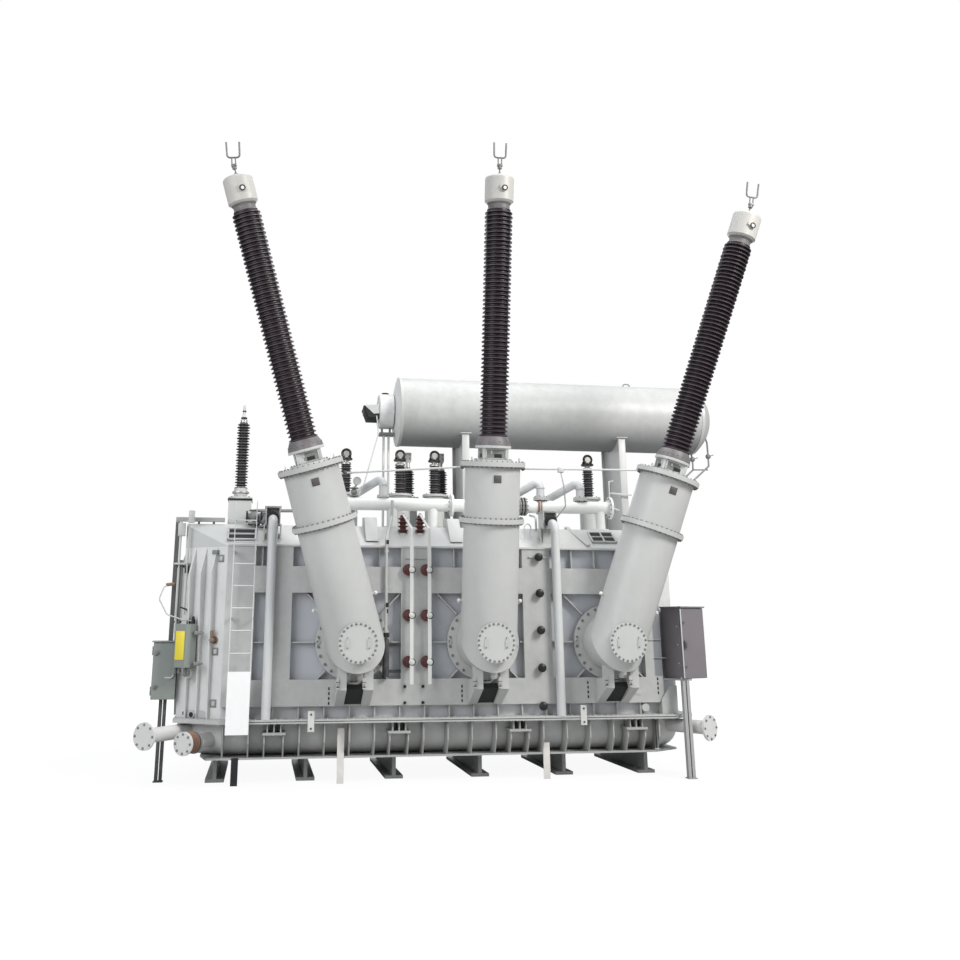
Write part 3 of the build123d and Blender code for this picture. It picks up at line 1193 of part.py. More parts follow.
def make_trunking():
    """Write the cable trunking over the cover's edge and down the left end, with its cleats."""
    x = -TANK_LEFT_END - TRUNKING_STANDOFF
    y = FRONT + LEFT_CHAMFER_DEPTH + TRUNKING_SIZE
    top = DECK + TRUNKING_CLEARANCE + TRUNKING_SIZE
    cleat = TRUNKING_SIZE / 2
    upright = block(around(x, TRUNKING_SIZE), around(y, TRUNKING_SIZE), (LEFT_BOX_TOP, top))
    for share in TRUNKING_CLEAT_HEIGHTS_SHARES:
        z = LEFT_BOX_TOP + share * (WALL_TOP - LEFT_BOX_TOP)
        upright += block((x, -TANK_LEFT_END - SEAT_GAP), around(y, cleat), around(z, cleat))
    across_start = x + TRUNKING_SIZE / 2
    across = block((across_start, TRUNKING_RIGHT), around(y, TRUNKING_SIZE), (top - TRUNKING_SIZE, top))
    foot_y = FRONT + COVER_SLOPE_RUN + TRUNKING_SIZE
    arm_top = top - TRUNKING_SIZE / 2
    for share in TRUNKING_FOOT_PLACES_SHARES:
        foot_x = -TANK_LEFT_END + share * (TRUNKING_RIGHT + TANK_LEFT_END)
        across += block(around(foot_x, cleat), (y, foot_y), (top - TRUNKING_SIZE, arm_top))
        across += block(around(foot_x, cleat), around(foot_y, cleat), (DECK, arm_top))
    save("cable_trunking", upright + across)


def oil_pipe(normal, foot, reach, flange_radius):
    """Return a pipe with a drilled end flange, square to a tank corner."""
    axis = Plane(origin=foot, x_dir=(0, 0, 1), z_dir=normal)
    run = disc(axis, -OIL_PIPE_ROOT, reach + OIL_PIPE_ROOT, OIL_PIPE_RADIUS) - lower_tank_solid()
    flange = disc(axis, reach - OIL_FLANGE_THICKNESS, OIL_FLANGE_THICKNESS, flange_radius)
    for index in range(OIL_FLANGE_HOLE_COUNT):
        turn = Rot(0, 0, index * 4 * QUARTER_TURN / OIL_FLANGE_HOLE_COUNT)
        spot = axis * turn * Pos(flange_radius - OIL_FLANGE_BOLT_INSET, 0, reach - OIL_FLANGE_THICKNESS / 2)
        flange -= spot * Cylinder(OIL_FLANGE_HOLE_RADIUS, OIL_FLANGE_THICKNESS + OVERRUN)
    return run + flange


def make_oil_pipes():
    """Write the cooler pipe connections of the lower tank."""
    left_normal = Vector(-LEFT_CHAMFER_DEPTH, -LEFT_CHAMFER_LENGTH, 0).normalized()
    right_normal = Vector(RIGHT_CHAMFER_DEPTH, -RIGHT_CHAMFER_LENGTH, 0).normalized()
    left_foot = Vector(-TANK_LEFT_END + LEFT_CHAMFER_LENGTH / 4, FRONT + LEFT_CHAMFER_DEPTH * 3 / 4,
                       OIL_PIPE_AXIS_HEIGHT)
    inner_foot = left_foot + Vector(LEFT_CHAMFER_LENGTH / 2, -LEFT_CHAMFER_DEPTH / 2, -OIL_PIPE_INNER_DROP)
    right_foot = Vector(TANK_RIGHT_END - RIGHT_CHAMFER_LENGTH / 2, FRONT + RIGHT_CHAMFER_DEPTH / 2,
                        OIL_PIPE_AXIS_HEIGHT)
    outer = oil_pipe(left_normal, left_foot, OIL_PIPE_OUTER_REACH, OIL_FLANGE_RADIUS)
    inner = oil_pipe(left_normal, inner_foot, OIL_PIPE_INNER_REACH, OIL_INNER_FLANGE_RADIUS)
    right = oil_pipe(right_normal, right_foot, OIL_PIPE_RIGHT_REACH, OIL_FLANGE_RADIUS)
    save("oil_pipes", outer, inner, right)


def main():
    """Build every node."""
    os.makedirs("parts", exist_ok=True)
    make_base()
    make_lower_fittings()
    make_upper_tank()
    make_stiffeners()
    make_wall_ribs()
    make_end_ribs()
    make_turrets()
    make_bushings()
    make_conservator()
    make_header()
    make_relief_pipes()
    make_ladder()
    make_small_bushings()
    make_earthing()
    make_breather()
    make_boxes()
    make_trunking()
    make_oil_pipes()


main()
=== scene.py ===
"""Looks of a three-phase power transformer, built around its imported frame.

Lengths are in metres in the frame's own axes: X to the right, Y to the rear, Z up from the ground.
"""

import math

import bmesh
import bpy
from bpy.props import FloatProperty, FloatVectorProperty, IntProperty, PointerProperty
from mathutils import Matrix, Vector


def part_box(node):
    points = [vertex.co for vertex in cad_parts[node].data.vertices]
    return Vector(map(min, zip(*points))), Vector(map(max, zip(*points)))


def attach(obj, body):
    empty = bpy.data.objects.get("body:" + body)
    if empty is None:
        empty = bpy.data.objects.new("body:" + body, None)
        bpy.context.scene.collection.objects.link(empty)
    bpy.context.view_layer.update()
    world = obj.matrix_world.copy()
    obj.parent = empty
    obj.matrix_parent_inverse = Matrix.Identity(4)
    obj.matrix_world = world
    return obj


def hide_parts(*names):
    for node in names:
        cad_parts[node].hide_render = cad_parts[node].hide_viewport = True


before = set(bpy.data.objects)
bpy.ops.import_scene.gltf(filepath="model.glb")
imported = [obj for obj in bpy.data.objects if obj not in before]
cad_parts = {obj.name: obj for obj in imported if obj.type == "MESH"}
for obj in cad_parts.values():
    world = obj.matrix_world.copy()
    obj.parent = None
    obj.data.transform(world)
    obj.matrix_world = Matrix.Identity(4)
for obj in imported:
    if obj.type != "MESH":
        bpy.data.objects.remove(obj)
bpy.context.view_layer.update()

bl_info = {
    "name": "Power Transformer",
    "version": (1, 0, 0),
    "blender": (4, 5, 0),
    "location": "View3D > Sidebar > Transformer",
    "description": "Dresses a three-phase oil-filled power transformer",
    "category": "Object",
}

TANK = "tank"
CABINET_DOOR = "control_cabinet_door"
BOX_DOOR = "left_box_door"

UP = (0, 0, 1)
OUT = (0, -1, 0)

IMAGE_PIXELS = 960.0
FOCAL_PIXELS = 974.9
OPTICAL_CENTRE = (415.0, 360.0)
SENSOR_WIDTH = 36.0
CAMERA_PLACE = (-3.726, -18.259, 2.402)
CAMERA_RIGHT = (0.9884, -0.1517, 0.0)
CAMERA_FORWARD = (0.1463, 0.9533, 0.2641)

PHASE_SPACING = 2.2
TURRET_FOOT = (-1.96, 2.16)
TURRET_LEAN = math.radians(9.5)
TURRET_SPLAYS = (math.radians(-16.5), math.radians(0.4), math.radians(18.2))
TURRET_LENGTH = 1.985
TURRET_TOP = 2.91
PORCELAIN_START = 3.37
PORCELAIN_LENGTH = 3.88
CAP_TOP = 7.85
TURRET_BOLT_CIRCLE = 0.507
LOW_VOLTAGE_FRONT = (-2.2, -1.144, -0.462, 2.662)
LOW_VOLTAGE_REAR = (-0.913, -0.242)
FRONT_ROW = 0.5
REAR_ROW = 1.05
LOW_VOLTAGE_BASE = 4.88
LOW_VOLTAGE_TOP = 5.44
HEADER_Y = -0.56
HEADER_Z = 4.56
NEUTRAL_X = -4.16
CONSERVATOR_Y = 0.9
CONSERVATOR_Z = 6.6
FRONT = -1.45
STIFFENER_FACE = -1.6
FLANGE_FACE = 1.782
FLANGE_BOLT_LINE = 1.73
DECK = 4.12
COVER_LIP = 3.73
SLOPE_RUN = 0.55
LEFT_CORNER = (-4.3, -1.45)
LEFT_END = (-5.03, -0.95)
LEFT_NORMAL = (-0.56509, -0.82503, 0.0)
RIGHT_NORMAL = (0.5492, -0.8357, 0.0)


# Nodes, and sums of them written as Python


def plug(tree, target, value):
    """Link a socket or a term to a node's input, or give the input a plain value."""
    value = value.socket if isinstance(value, Term) else value
    if isinstance(value, bpy.types.NodeSocket):
        tree.links.new(value, target)
    else:
        target.default_value = value


def new_node(tree, kind, settings=None, sockets=None):
    """Add a node of any kind: its settings first, then the values or links of its sockets."""
    node = tree.nodes.new(kind)
    for name, value in (settings or {}).items():
        setattr(node, name, value)
    for name, value in (sockets or {}).items():
        plug(tree, node.inputs[name], value)
    return node


class Term:
    """A socket that takes part in Python sums; each sum adds its own Math node."""

    def __init__(self, tree, socket):
        self.tree = tree
        self.socket = socket

    def maths(self, operation, *others, clamp=False):
        """Return this term joined with others by one Math node."""
        sockets = dict(enumerate((self, *others)))
        node = new_node(self.tree, "ShaderNodeMath", {"operation": operation, "use_clamp": clamp}, sockets)
        return Term(self.tree, node.outputs[0])

    def constant(self, number):
        """Return a fixed number as a term of the same tree."""
        node = self.tree.nodes.new("ShaderNodeValue")
        node.outputs[0].default_value = number
        return Term(self.tree, node.outputs[0])

    def __add__(self, other):
        return self.maths("ADD", other)

    __radd__ = __add__

    def __sub__(self, other):
        return self.maths("SUBTRACT", other)

    def __rsub__(self, other):
        return self.constant(other).maths("SUBTRACT", self)

    def __mul__(self, other):
        return self.maths("MULTIPLY", other)

    __rmul__ = __mul__

    def __truediv__(self, other):
        return self.maths("DIVIDE", other)

    def __pow__(self, other):
        return self.maths("POWER", other)

    def clamped(self):
        """Return the term kept between 0 and 1."""
        return self.maths("ADD", 0.0, clamp=True)

    def between(self, low, high):
        """Return 0 below low and 1 above high, and a straight slope between them."""
        return ((self - low) / (high - low)).clamped()


class Finish:
    """One material and the nodes that make it."""

    def __init__(self, name):
        self.material = bpy.data.materials.new(name)
        self.material.use_nodes = True
        self.tree = self.material.node_tree
        self.shader = self.tree.nodes["Principled BSDF"]
        self.place = self.add("ShaderNodeTexCoord").outputs["Object"]

    def add(self, kind, settings=None, sockets=None):
        """Add a node of any kind to this material."""
        return new_node(self.tree, kind, settings, sockets)

    def term(self, node, output):
        """Return one output of a node as a term."""
        return Term(self.tree, node.outputs[output])

    def noise(self, scale, detail=3.0, roughness=0.5, stretch=(1.0, 1.0, 1.0)):
        """Return a cloud pattern on Object coordinates, about 0.5 on average."""
        turned = self.add("ShaderNodeMapping", None, {"Vector": self.place, "Scale": stretch})
        sockets = {"Vector": turned.outputs[0], "Scale": scale, "Detail": detail, "Roughness": roughness}
        return self.term(self.add("ShaderNodeTexNoise", None, sockets), "Fac")

    def axis(self, letter):
        """Return one Object coordinate as a term."""
        node = self.add("ShaderNodeSeparateXYZ", None, {"Vector": self.place})
        return self.term(node, letter)

    def facing_up(self):
        """Return how far the surface faces up, from -1 to 1."""
        geometry = self.add("ShaderNodeNewGeometry")
        return self.term(self.add("ShaderNodeSeparateXYZ", None, {"Vector": geometry.outputs["Normal"]}), "Z")

    def crevice(self, reach):
        """Return 1 in corners and under ledges and 0 on open surfaces."""
        shade = self.add("ShaderNodeAmbientOcclusion", {"samples": 4}, {"Distance": reach})
        return 1 - self.term(shade, "AO")

    def blend(self, share, first, second):
        """Return a colour between two colours, by a term from 0 to 1."""
        return self.add("ShaderNodeMix", {"data_type": "RGBA"}, {0: share, 6: first, 7: second}).outputs[2]

    def bump(self, height, distance, strength=1.0):
        """Feed a height into the shader's normal."""
        bumped = self.add("ShaderNodeBump", None, {"Height": height, "Distance": distance, "Strength": strength})
        self.feed("Normal", bumped.outputs[0])

    def feed(self, name, value):
        """Set or link one socket of the shader."""
        plug(self.tree, self.shader.inputs[name], value)


def tint(colour, share):
    """Return a colour with its brightness times a share, opaque."""
    return (*[min(1.0, channel * share) for channel in colour[:3]], 1.0)


def paint(name, colour, roughness=0.42, crevice_shade=0.35, relief=0.0006, streaks=0.5, zone=None, other=None):
    """Sprayed paint on steel: soft mottling, rain streaks, painted shade and dust in the corners, orange peel.

    Where zone, a function of the finish, gives 1, the colour is the other one.
    """
    finish = Finish(name)
    cloud = finish.noise(0.9, 5.0, 0.6)
    mottle = finish.noise(7.0, 4.0, 0.6)
    runs = finish.noise(5.0, 4.0, 0.6, (1.0, 1.0, 0.12)).between(0.52, 0.75)
    # Corners and the undersides of ledges darkened by ambient occlusion: painted shade, with dust.
    dust = finish.crevice(0.12).between(0.2, 0.9) * crevice_shade
    body = finish.blend(cloud.between(0.3, 0.7), tint(colour, 0.94), tint(colour, 1.04))
    if zone:
        body = finish.blend(zone(finish), body, tint(other, 1.0))
    body = finish.blend(mottle.between(0.35, 0.8) * 0.2, body, tint(other or colour, 0.86))
    body = finish.blend(runs * (0.2 * streaks), body, tint(other or colour, 0.66))
    # Colour of the painted corner shade and dust.
    crevice_shade_colour = (colour[0] * 0.42, colour[1] * 0.4, colour[2] * 0.37, 1.0)
    finish.feed("Base Color", finish.blend(dust, body, crevice_shade_colour))
    finish.feed("Roughness", (mottle * 0.16 + runs * 0.08 + dust * 0.25 + (roughness - 0.08)).clamped())
    peel = finish.noise(140.0, 2.0, 0.5) + finish.noise(18.0, 2.0, 0.5) * 2.5
    finish.bump(peel, relief, 0.35)
    return finish.material


def glaze(name, colour, edge, roughness=0.42):
    """Fired glaze: deep colour, a painted sheen that makes it paler and browner at the sheds' rims, fine ripples."""
    finish = Finish(name)
    cloud = finish.noise(3.0, 4.0, 0.6)
    spots = finish.noise(60.0, 3.0, 0.6).between(0.62, 0.75)
    dust = finish.facing_up().between(0.25, 0.95) * finish.noise(9.0, 4.0, 0.6).between(0.25, 0.75)
    rim = finish.term(finish.add("ShaderNodeAttribute", {"attribute_name": "rim"}), "Fac")
    body = finish.blend(cloud.between(0.3, 0.7), tint(colour, 0.8), tint(colour, 1.3))
    body = finish.blend(spots * 0.4, body, tint(edge, 1.0))
    body = finish.blend(dust * 0.25, body, tint(edge, 1.4))
    # Painted sheen: the glaze is made paler towards the sheds' rims.
    finish.feed("Base Color", finish.blend(rim.between(0.55, 1.0) * 0.8, body, tint(edge, 1.3)))
    finish.feed("Roughness", (cloud * 0.1 + dust * 0.25 + roughness).clamped())
    finish.feed("Coat Weight", 0.03)
    finish.bump(finish.noise(24.0, 2.0, 0.5), 0.0009, 0.3)
    return finish.material


def bare_metal(name, colour, roughness=0.4, metallic=0.85):
    """Cast or galvanised metal: spangle, dull patches and fine scratches."""
    finish = Finish(name)
    spangle = finish.noise(45.0, 3.0, 0.65)
    patches = finish.noise(4.0, 4.0, 0.6)
    scratch = finish.noise(30.0, 3.0, 0.6, (1.0, 1.0, 14.0)).between(0.55, 0.75)
    body = finish.blend(spangle.between(0.35, 0.7), tint(colour, 0.86), tint(colour, 1.08))
    finish.feed("Base Color", finish.blend(patches.between(0.45, 0.8) * 0.45, body, tint(colour, 0.62)))
    finish.feed("Roughness", (patches * 0.2 + scratch * 0.12 + (roughness - 0.1)).clamped())
    finish.feed("Metallic", (patches.between(0.3, 0.8) * -0.25 + metallic).clamped())
    finish.bump(spangle + scratch, 0.0007, 0.3)
    return finish.material


def moulding(name, colour, roughness=0.5, grain=90.0):
    """Moulded resin or rubber: fine grain, faint bloom and rubbed spots."""
    finish = Finish(name)
    bloom = finish.noise(6.0, 4.0, 0.6)
    grains = finish.noise(grain, 3.0, 0.6)
    body = finish.blend(bloom.between(0.35, 0.75), tint(colour, 0.82), tint(colour, 1.25))
    dust = finish.facing_up().between(0.2, 0.9) * finish.noise(12.0, 3.0, 0.6).between(0.3, 0.7)
    grey = sum(colour[:3]) / 3 + 0.12
    finish.feed("Base Color", finish.blend(dust * 0.3, body, (grey, grey * 0.97, grey * 0.93, 1.0)))
    finish.feed("Roughness", (grains * 0.14 + bloom * 0.1 + (roughness - 0.12)).clamped())
    finish.bump(grains, 0.0006, 0.35)
    return finish.material


# Meshes


def mesh_object(name, mesh, material, smooth=None):
    """Return a linked object for a mesh, with one material and shading by angle."""
    thing = bpy.data.objects.new(name, mesh)
    bpy.context.scene.collection.objects.link(thing)
    mesh.materials.clear()
    mesh.materials.append(material)
    if smooth is not None:
        mesh.shade_smooth()
        mesh.set_sharp_from_angle(angle=math.radians(smooth))
    return thing


class Shape:
    """A mesh put together from simple solids, all in the frame's axes."""

    def __init__(self):
        self.mesh = bmesh.new()

    def take(self, part, matrix):
        """Add a finished bmesh at a place and free it."""
        part.transform(matrix)
        spare = bpy.data.meshes.new("spare")
        part.to_mesh(spare)
        part.free()
        self.mesh.from_mesh(spare)
        bpy.data.meshes.remove(spare)

    def block(self, low, high, bevel=0.0, place=None):
        """Add a box between two corners, with rounded edges if bevel is given."""
        part = bmesh.new()
        bmesh.ops.create_cube(part, size=1.0)
        size = Vector(high) - Vector(low)
        centre = (Vector(high) + Vector(low)) / 2
        bmesh.ops.transform(part, matrix=Matrix.Diagonal((*size, 1.0)), verts=part.verts)
        if bevel:
            bmesh.ops.bevel(part, geom=part.edges[:], offset=bevel, segments=2, affect="EDGES", profile=0.5)
        self.take(part, (place or Matrix()) @ Matrix.Translation(centre))

    def spin(self, outline, place, steps=32):
        """Add the body of revolution about local Z of an outline of (radius, height) pairs, from axis to axis."""
        part = bmesh.new()
        rings = []
        for radius, height in outline:
            if radius <= 1e-6:
                rings.append([part.verts.new((0.0, 0.0, height))])
                continue
            turn = [index / steps * math.tau for index in range(steps)]
            rings.append([part.verts.new((radius * math.cos(a), radius * math.sin(a), height)) for a in turn])
        for low, high in zip(rings, rings[1:]):
            for index in range(steps):
                after = (index + 1) % steps
                if len(low) == 1 and len(high) == 1:
                    continue
                if len(low) == 1:
                    part.faces.new((low[0], high[after], high[index]))
                elif len(high) == 1:
                    part.faces.new((low[index], low[after], high[0]))
                else:
                    part.faces.new((low[index], low[after], high[after], high[index]))
        bmesh.ops.remove_doubles(part, verts=part.verts[:], dist=1e-6)
        bmesh.ops.recalc_face_normals(part, faces=part.faces[:])
        self.take(part, place)

    def rod(self, start, end, radius, steps=20, bevel=0.0):
        """Add a round bar from one point to another, with its rims rounded if bevel is given."""
        run = Vector(end) - Vector(start)
        length = run.length
        side = [(radius, bevel), (radius, length - bevel)]
        if bevel:
            side = [(radius - bevel, 0.0), *side, (radius - bevel, length)]
        self.spin([(0.0, 0.0), *side, (0.0, length)], at(start, run), steps)

    def tube(self, points, radius, bend=0.0, steps=12, closed=False):
        """Add a round pipe along straight runs with rounded corners."""
        path = rounded(points, bend) if bend else [Vector(point) for point in points]
        part = bmesh.new()
        rings = []
        across = None
        for index, point in enumerate(path):
            before = path[index] - path[index - 1] if index or closed else path[1] - path[0]
            after = path[(index + 1) % len(path)] - path[index] if index + 1 < len(path) or closed else before
            along = (before.normalized() + after.normalized()).normalized()
            if across is None:
                across = along.orthogonal().normalized()
            across = (across - along * across.dot(along)).normalized()
            side = along.cross(across)
            ring = []
            for step in range(steps):
                turn = step / steps * math.tau
                ring.append(part.verts.new(point + (across * math.cos(turn) + side * math.sin(turn)) * radius))
            rings.append(ring)
        pairs = list(zip(rings, rings[1:])) + ([(rings[-1], rings[0])] if closed else [])
        for low, high in pairs:
            for step in range(steps):
                after = (step + 1) % steps
                part.faces.new((low[step], low[after], high[after], high[step]))
        if not closed:
            part.faces.new(rings[0][::-1])
            part.faces.new(rings[-1])
        bmesh.ops.recalc_face_normals(part, faces=part.faces[:])
        self.take(part, Matrix())

    def plate(self, outline, thickness, place, bevel=0.0):
        """Add a flat plate with its outline in local X and Y, thick along local Z."""
        part = bmesh.new()
        low = [part.verts.new((x, y, 0.0)) for x, y in outline]
        face = part.faces.new(low)
        if face.normal.z > 0:
            face.normal_flip()
        raised = bmesh.ops.extrude_face_region(part, geom=[face])
        top = [item for item in raised["geom"] if isinstance(item, bmesh.types.BMVert)]
        bmesh.ops.translate(part, verts=top, vec=(0.0, 0.0, thickness))
        bmesh.ops.recalc_face_normals(part, faces=part.faces[:])
        if bevel:
            bmesh.ops.bevel(part, geom=part.edges[:], offset=bevel, segments=1, affect="EDGES")
        self.take(part, place)

    def ball(self, centre, radius, steps=16):
        """Add a ball."""
        arc = [index / 8 * math.pi for index in range(9)]
        self.spin([(radius * math.sin(turn), -radius * math.cos(turn)) for turn in arc],
                  Matrix.Translation(centre), steps)

    def disc(self, centre, normal, radius, thickness, bevel=0.002, steps=32):
        """Add a round plate that stands on a point."""
        way = Vector(normal).normalized()
        self.rod(centre, Vector(centre) + way * thickness, radius, steps, bevel)

    def loop(self, centre, normal, radius, wire, steps=24):
        """Add a closed ring of round bar."""
        place = at(centre, normal)
        turns = [index / steps * math.tau for index in range(steps)]
        ring = [place @ Vector((radius * math.cos(a), radius * math.sin(a), 0)) for a in turns]
        self.tube(ring, wire, 0.0, 10, True)

    def bar(self, start, end, width, depth, facing=OUT, bevel=0.002):
        """Add a flat bar between two points, its depth along the way it faces."""
        run = Vector(end) - Vector(start)
        self.block((-depth / 2, -width / 2, 0), (depth / 2, width / 2, run.length), bevel, at(start, run, facing))

    def upright(self, x, outline, thickness, bevel=0.0):
        """Add a plate that stands across X, its outline in (y, z) pairs."""
        self.plate(outline, thickness, at((x, 0, 0), (1, 0, 0), (0, 1, 0)), bevel)

    def studs(self, place, count, radius, length, start=0.0):
        """Add a circle of thin studs about a place's local Z."""
        for index in range(count):
            turn = (index + start) / count * math.tau
            foot = on(place, radius * math.cos(turn), radius * math.sin(turn), 0)
            self.rod(foot, foot + way_of(place) * length, 0.009, 6)

    def done(self, name, finish, slot, body=TANK, replaced=()):
        """Make the object, with its finish, its body and the nodes that it stands for; the slot is not used."""
        mesh = bpy.data.meshes.new(name)
        self.mesh.to_mesh(mesh)
        self.mesh.free()
        keep(mesh_object(name, mesh, FINISHES[finish], 35.0), body, replaced)


def shapes(count):
    """Return a number of empty shapes."""
    return [Shape() for _ in range(count)]


def at(point, normal, along=(1.0, 0.0, 0.0)):
    """Return the place with its origin at a point, local Z along a normal and local X near a direction."""
    up = Vector(normal).normalized()
    side = Vector(along) - up * Vector(along).dot(up)
    if side.length < 1e-4:
        side = up.orthogonal()
    side.normalize()
    turned = Matrix((side, up.cross(side), up)).transposed().to_4x4()
    return Matrix.Translation(point) @ turned


def on(place, x, y, z):
    """Return a point given in a place's own axes."""
    return place @ Vector((x, y, z))


def path_on(place, *points):
    """Return a path given in a place's own axes."""
    return [place @ Vector(point) for point in points]


def way_of(place):
    """Return the way of a place's local Z."""
    return place.to_3x3() @ Vector(UP)


def rounded(points, bend, steps=6):
    """Return a path with its corners replaced by arcs."""
    points = [Vector(point) for point in points]
    path = [points[0]]
    for before, corner, after in zip(points, points[1:], points[2:]):
        towards = (before - corner).normalized()
        away = (after - corner).normalized()
        half = towards.angle(away) / 2
        if half > math.radians(89.0):
            path.append(corner)
            continue
        inset = min(bend / math.tan(half), (before - corner).length / 2, (after - corner).length / 2)
        radius = inset * math.tan(half)
        centre = corner + (towards + away).normalized() * (radius / math.sin(half))
        start = corner + towards * inset - centre
        end = corner + away * inset - centre
        sweep = start.angle(end)
        for step in range(steps + 1):
            share = step / steps
            arm = start * math.sin((1 - share) * sweep) + end * math.sin(share * sweep)
            path.append(centre + arm / math.sin(sweep))
    return path + [points[-1]]


def slope_place(x, z):
    """Return a place on the cover's front slope: local X to the right, local Y up the slope."""
    y = FRONT + (z - COVER_LIP) / (DECK - COVER_LIP) * SLOPE_RUN
    return at((x, y, z), (0.0, COVER_LIP - DECK, SLOPE_RUN))


def chamfer_place(x, z):
    """Return a place on the tank's left chamfered wall at an X and a height."""
    share = (x - LEFT_CORNER[0]) / (LEFT_END[0] - LEFT_CORNER[0])
    y = LEFT_CORNER[1] + share * (LEFT_END[1] - LEFT_CORNER[1])
    return at((x, y, z), LEFT_NORMAL, (0.82503, -0.56509, 0.0))


def turret_place(phase, along=0.0):
    """Return the place on a turret's axis at a distance from the elbow, local Z up the bushing."""
    splay = TURRET_SPLAYS[phase]
    up = Vector((math.tan(splay), -math.tan(TURRET_LEAN), 1.0))
    foot = Vector(((phase - 1) * PHASE_SPACING, *TURRET_FOOT))
    return at(foot, up) @ Matrix.Translation((0.0, 0.0, along))


# Geometry Nodes


def node_group(name, inputs):
    """Return a new geometry tree with named inputs, its input node and its output node."""
    tree = bpy.data.node_groups.new(name, "GeometryNodeTree")
    tree.interface.new_socket("Geometry", in_out="INPUT", socket_type="NodeSocketGeometry")
    for label, kind, default in inputs:
        socket = tree.interface.new_socket(label, in_out="INPUT", socket_type=kind)
        if default is not None:
            socket.default_value = default
    tree.interface.new_socket("Geometry", in_out="OUTPUT", socket_type="NodeSocketGeometry")
    return tree, tree.nodes.new("NodeGroupInput"), tree.nodes.new("NodeGroupOutput")


def joined(tree, *parts):
    """Join geometries and return the output."""
    node = tree.nodes.new("GeometryNodeJoinGeometry")
    for part in parts:
        tree.links.new(part, node.inputs[0])
    return node.outputs[0]


def lifted(tree, part, height):
    """Return the geometry of a node, moved up by a height."""
    lift = new_node(tree, "ShaderNodeCombineXYZ", None, {"Z": height})
    sockets = {"Geometry": part.outputs[0], "Translation": lift.outputs[0]}
    return new_node(tree, "GeometryNodeTransform", None, sockets).outputs[0]


def finish_tree(tree, geometry, given, result):
    """End a tree with Realize Instances and Set Material."""
    real = new_node(tree, "GeometryNodeRealizeInstances", None, {"Geometry": geometry})
    sockets = {"Geometry": real.outputs[0], "Material": given.outputs["Material"]}
    dressed = new_node(tree, "GeometryNodeSetMaterial", None, sockets)
    tree.links.new(dressed.outputs[0], result.inputs[0])
    return tree


def hex_bolt_tree():
    """Hex heads with washers and stud ends on points that carry a facing and a size."""
    tree, given, result = node_group("Hex bolts", [
        ("Head Radius", "NodeSocketFloat", 1.0),
        ("Head Height", "NodeSocketFloat", 1.1),
        ("Washer Radius", "NodeSocketFloat", 1.35),
        ("Stud Length", "NodeSocketFloat", 0.7),
        ("Material", "NodeSocketMaterial", None),
    ])

    def drum(vertices, radius, depth, base):
        sockets = {"Vertices": vertices, "Radius": radius, "Depth": depth}
        part = new_node(tree, "GeometryNodeMeshCylinder", None, sockets)
        middle = new_node(tree, "ShaderNodeMath", {"operation": "MULTIPLY_ADD"}, {0: depth, 1: 0.5, 2: base})
        return lifted(tree, part, middle.outputs[0])

    height = given.outputs["Head Height"]
    washer = drum(10, given.outputs["Washer Radius"], 0.18, 0.0)
    head = drum(6, given.outputs["Head Radius"], height, 0.0)
    stud = drum(6, 0.55, given.outputs["Stud Length"], height)
    facing = new_node(tree, "GeometryNodeInputNamedAttribute", {"data_type": "FLOAT_VECTOR"}, {"Name": "facing"})
    size = new_node(tree, "GeometryNodeInputNamedAttribute", {"data_type": "FLOAT"}, {"Name": "size"})
    turn = new_node(tree, "FunctionNodeAlignRotationToVector", {"axis": "Z"}, {"Vector": facing.outputs[0]})
    spread = new_node(tree, "GeometryNodeInstanceOnPoints", None, {
        "Points": given.outputs["Geometry"],
        "Instance": joined(tree, washer, head, stud),
        "Rotation": turn.outputs[0],
        "Scale": size.outputs[0],
    })
    return finish_tree(tree, spread.outputs[0], given, result)


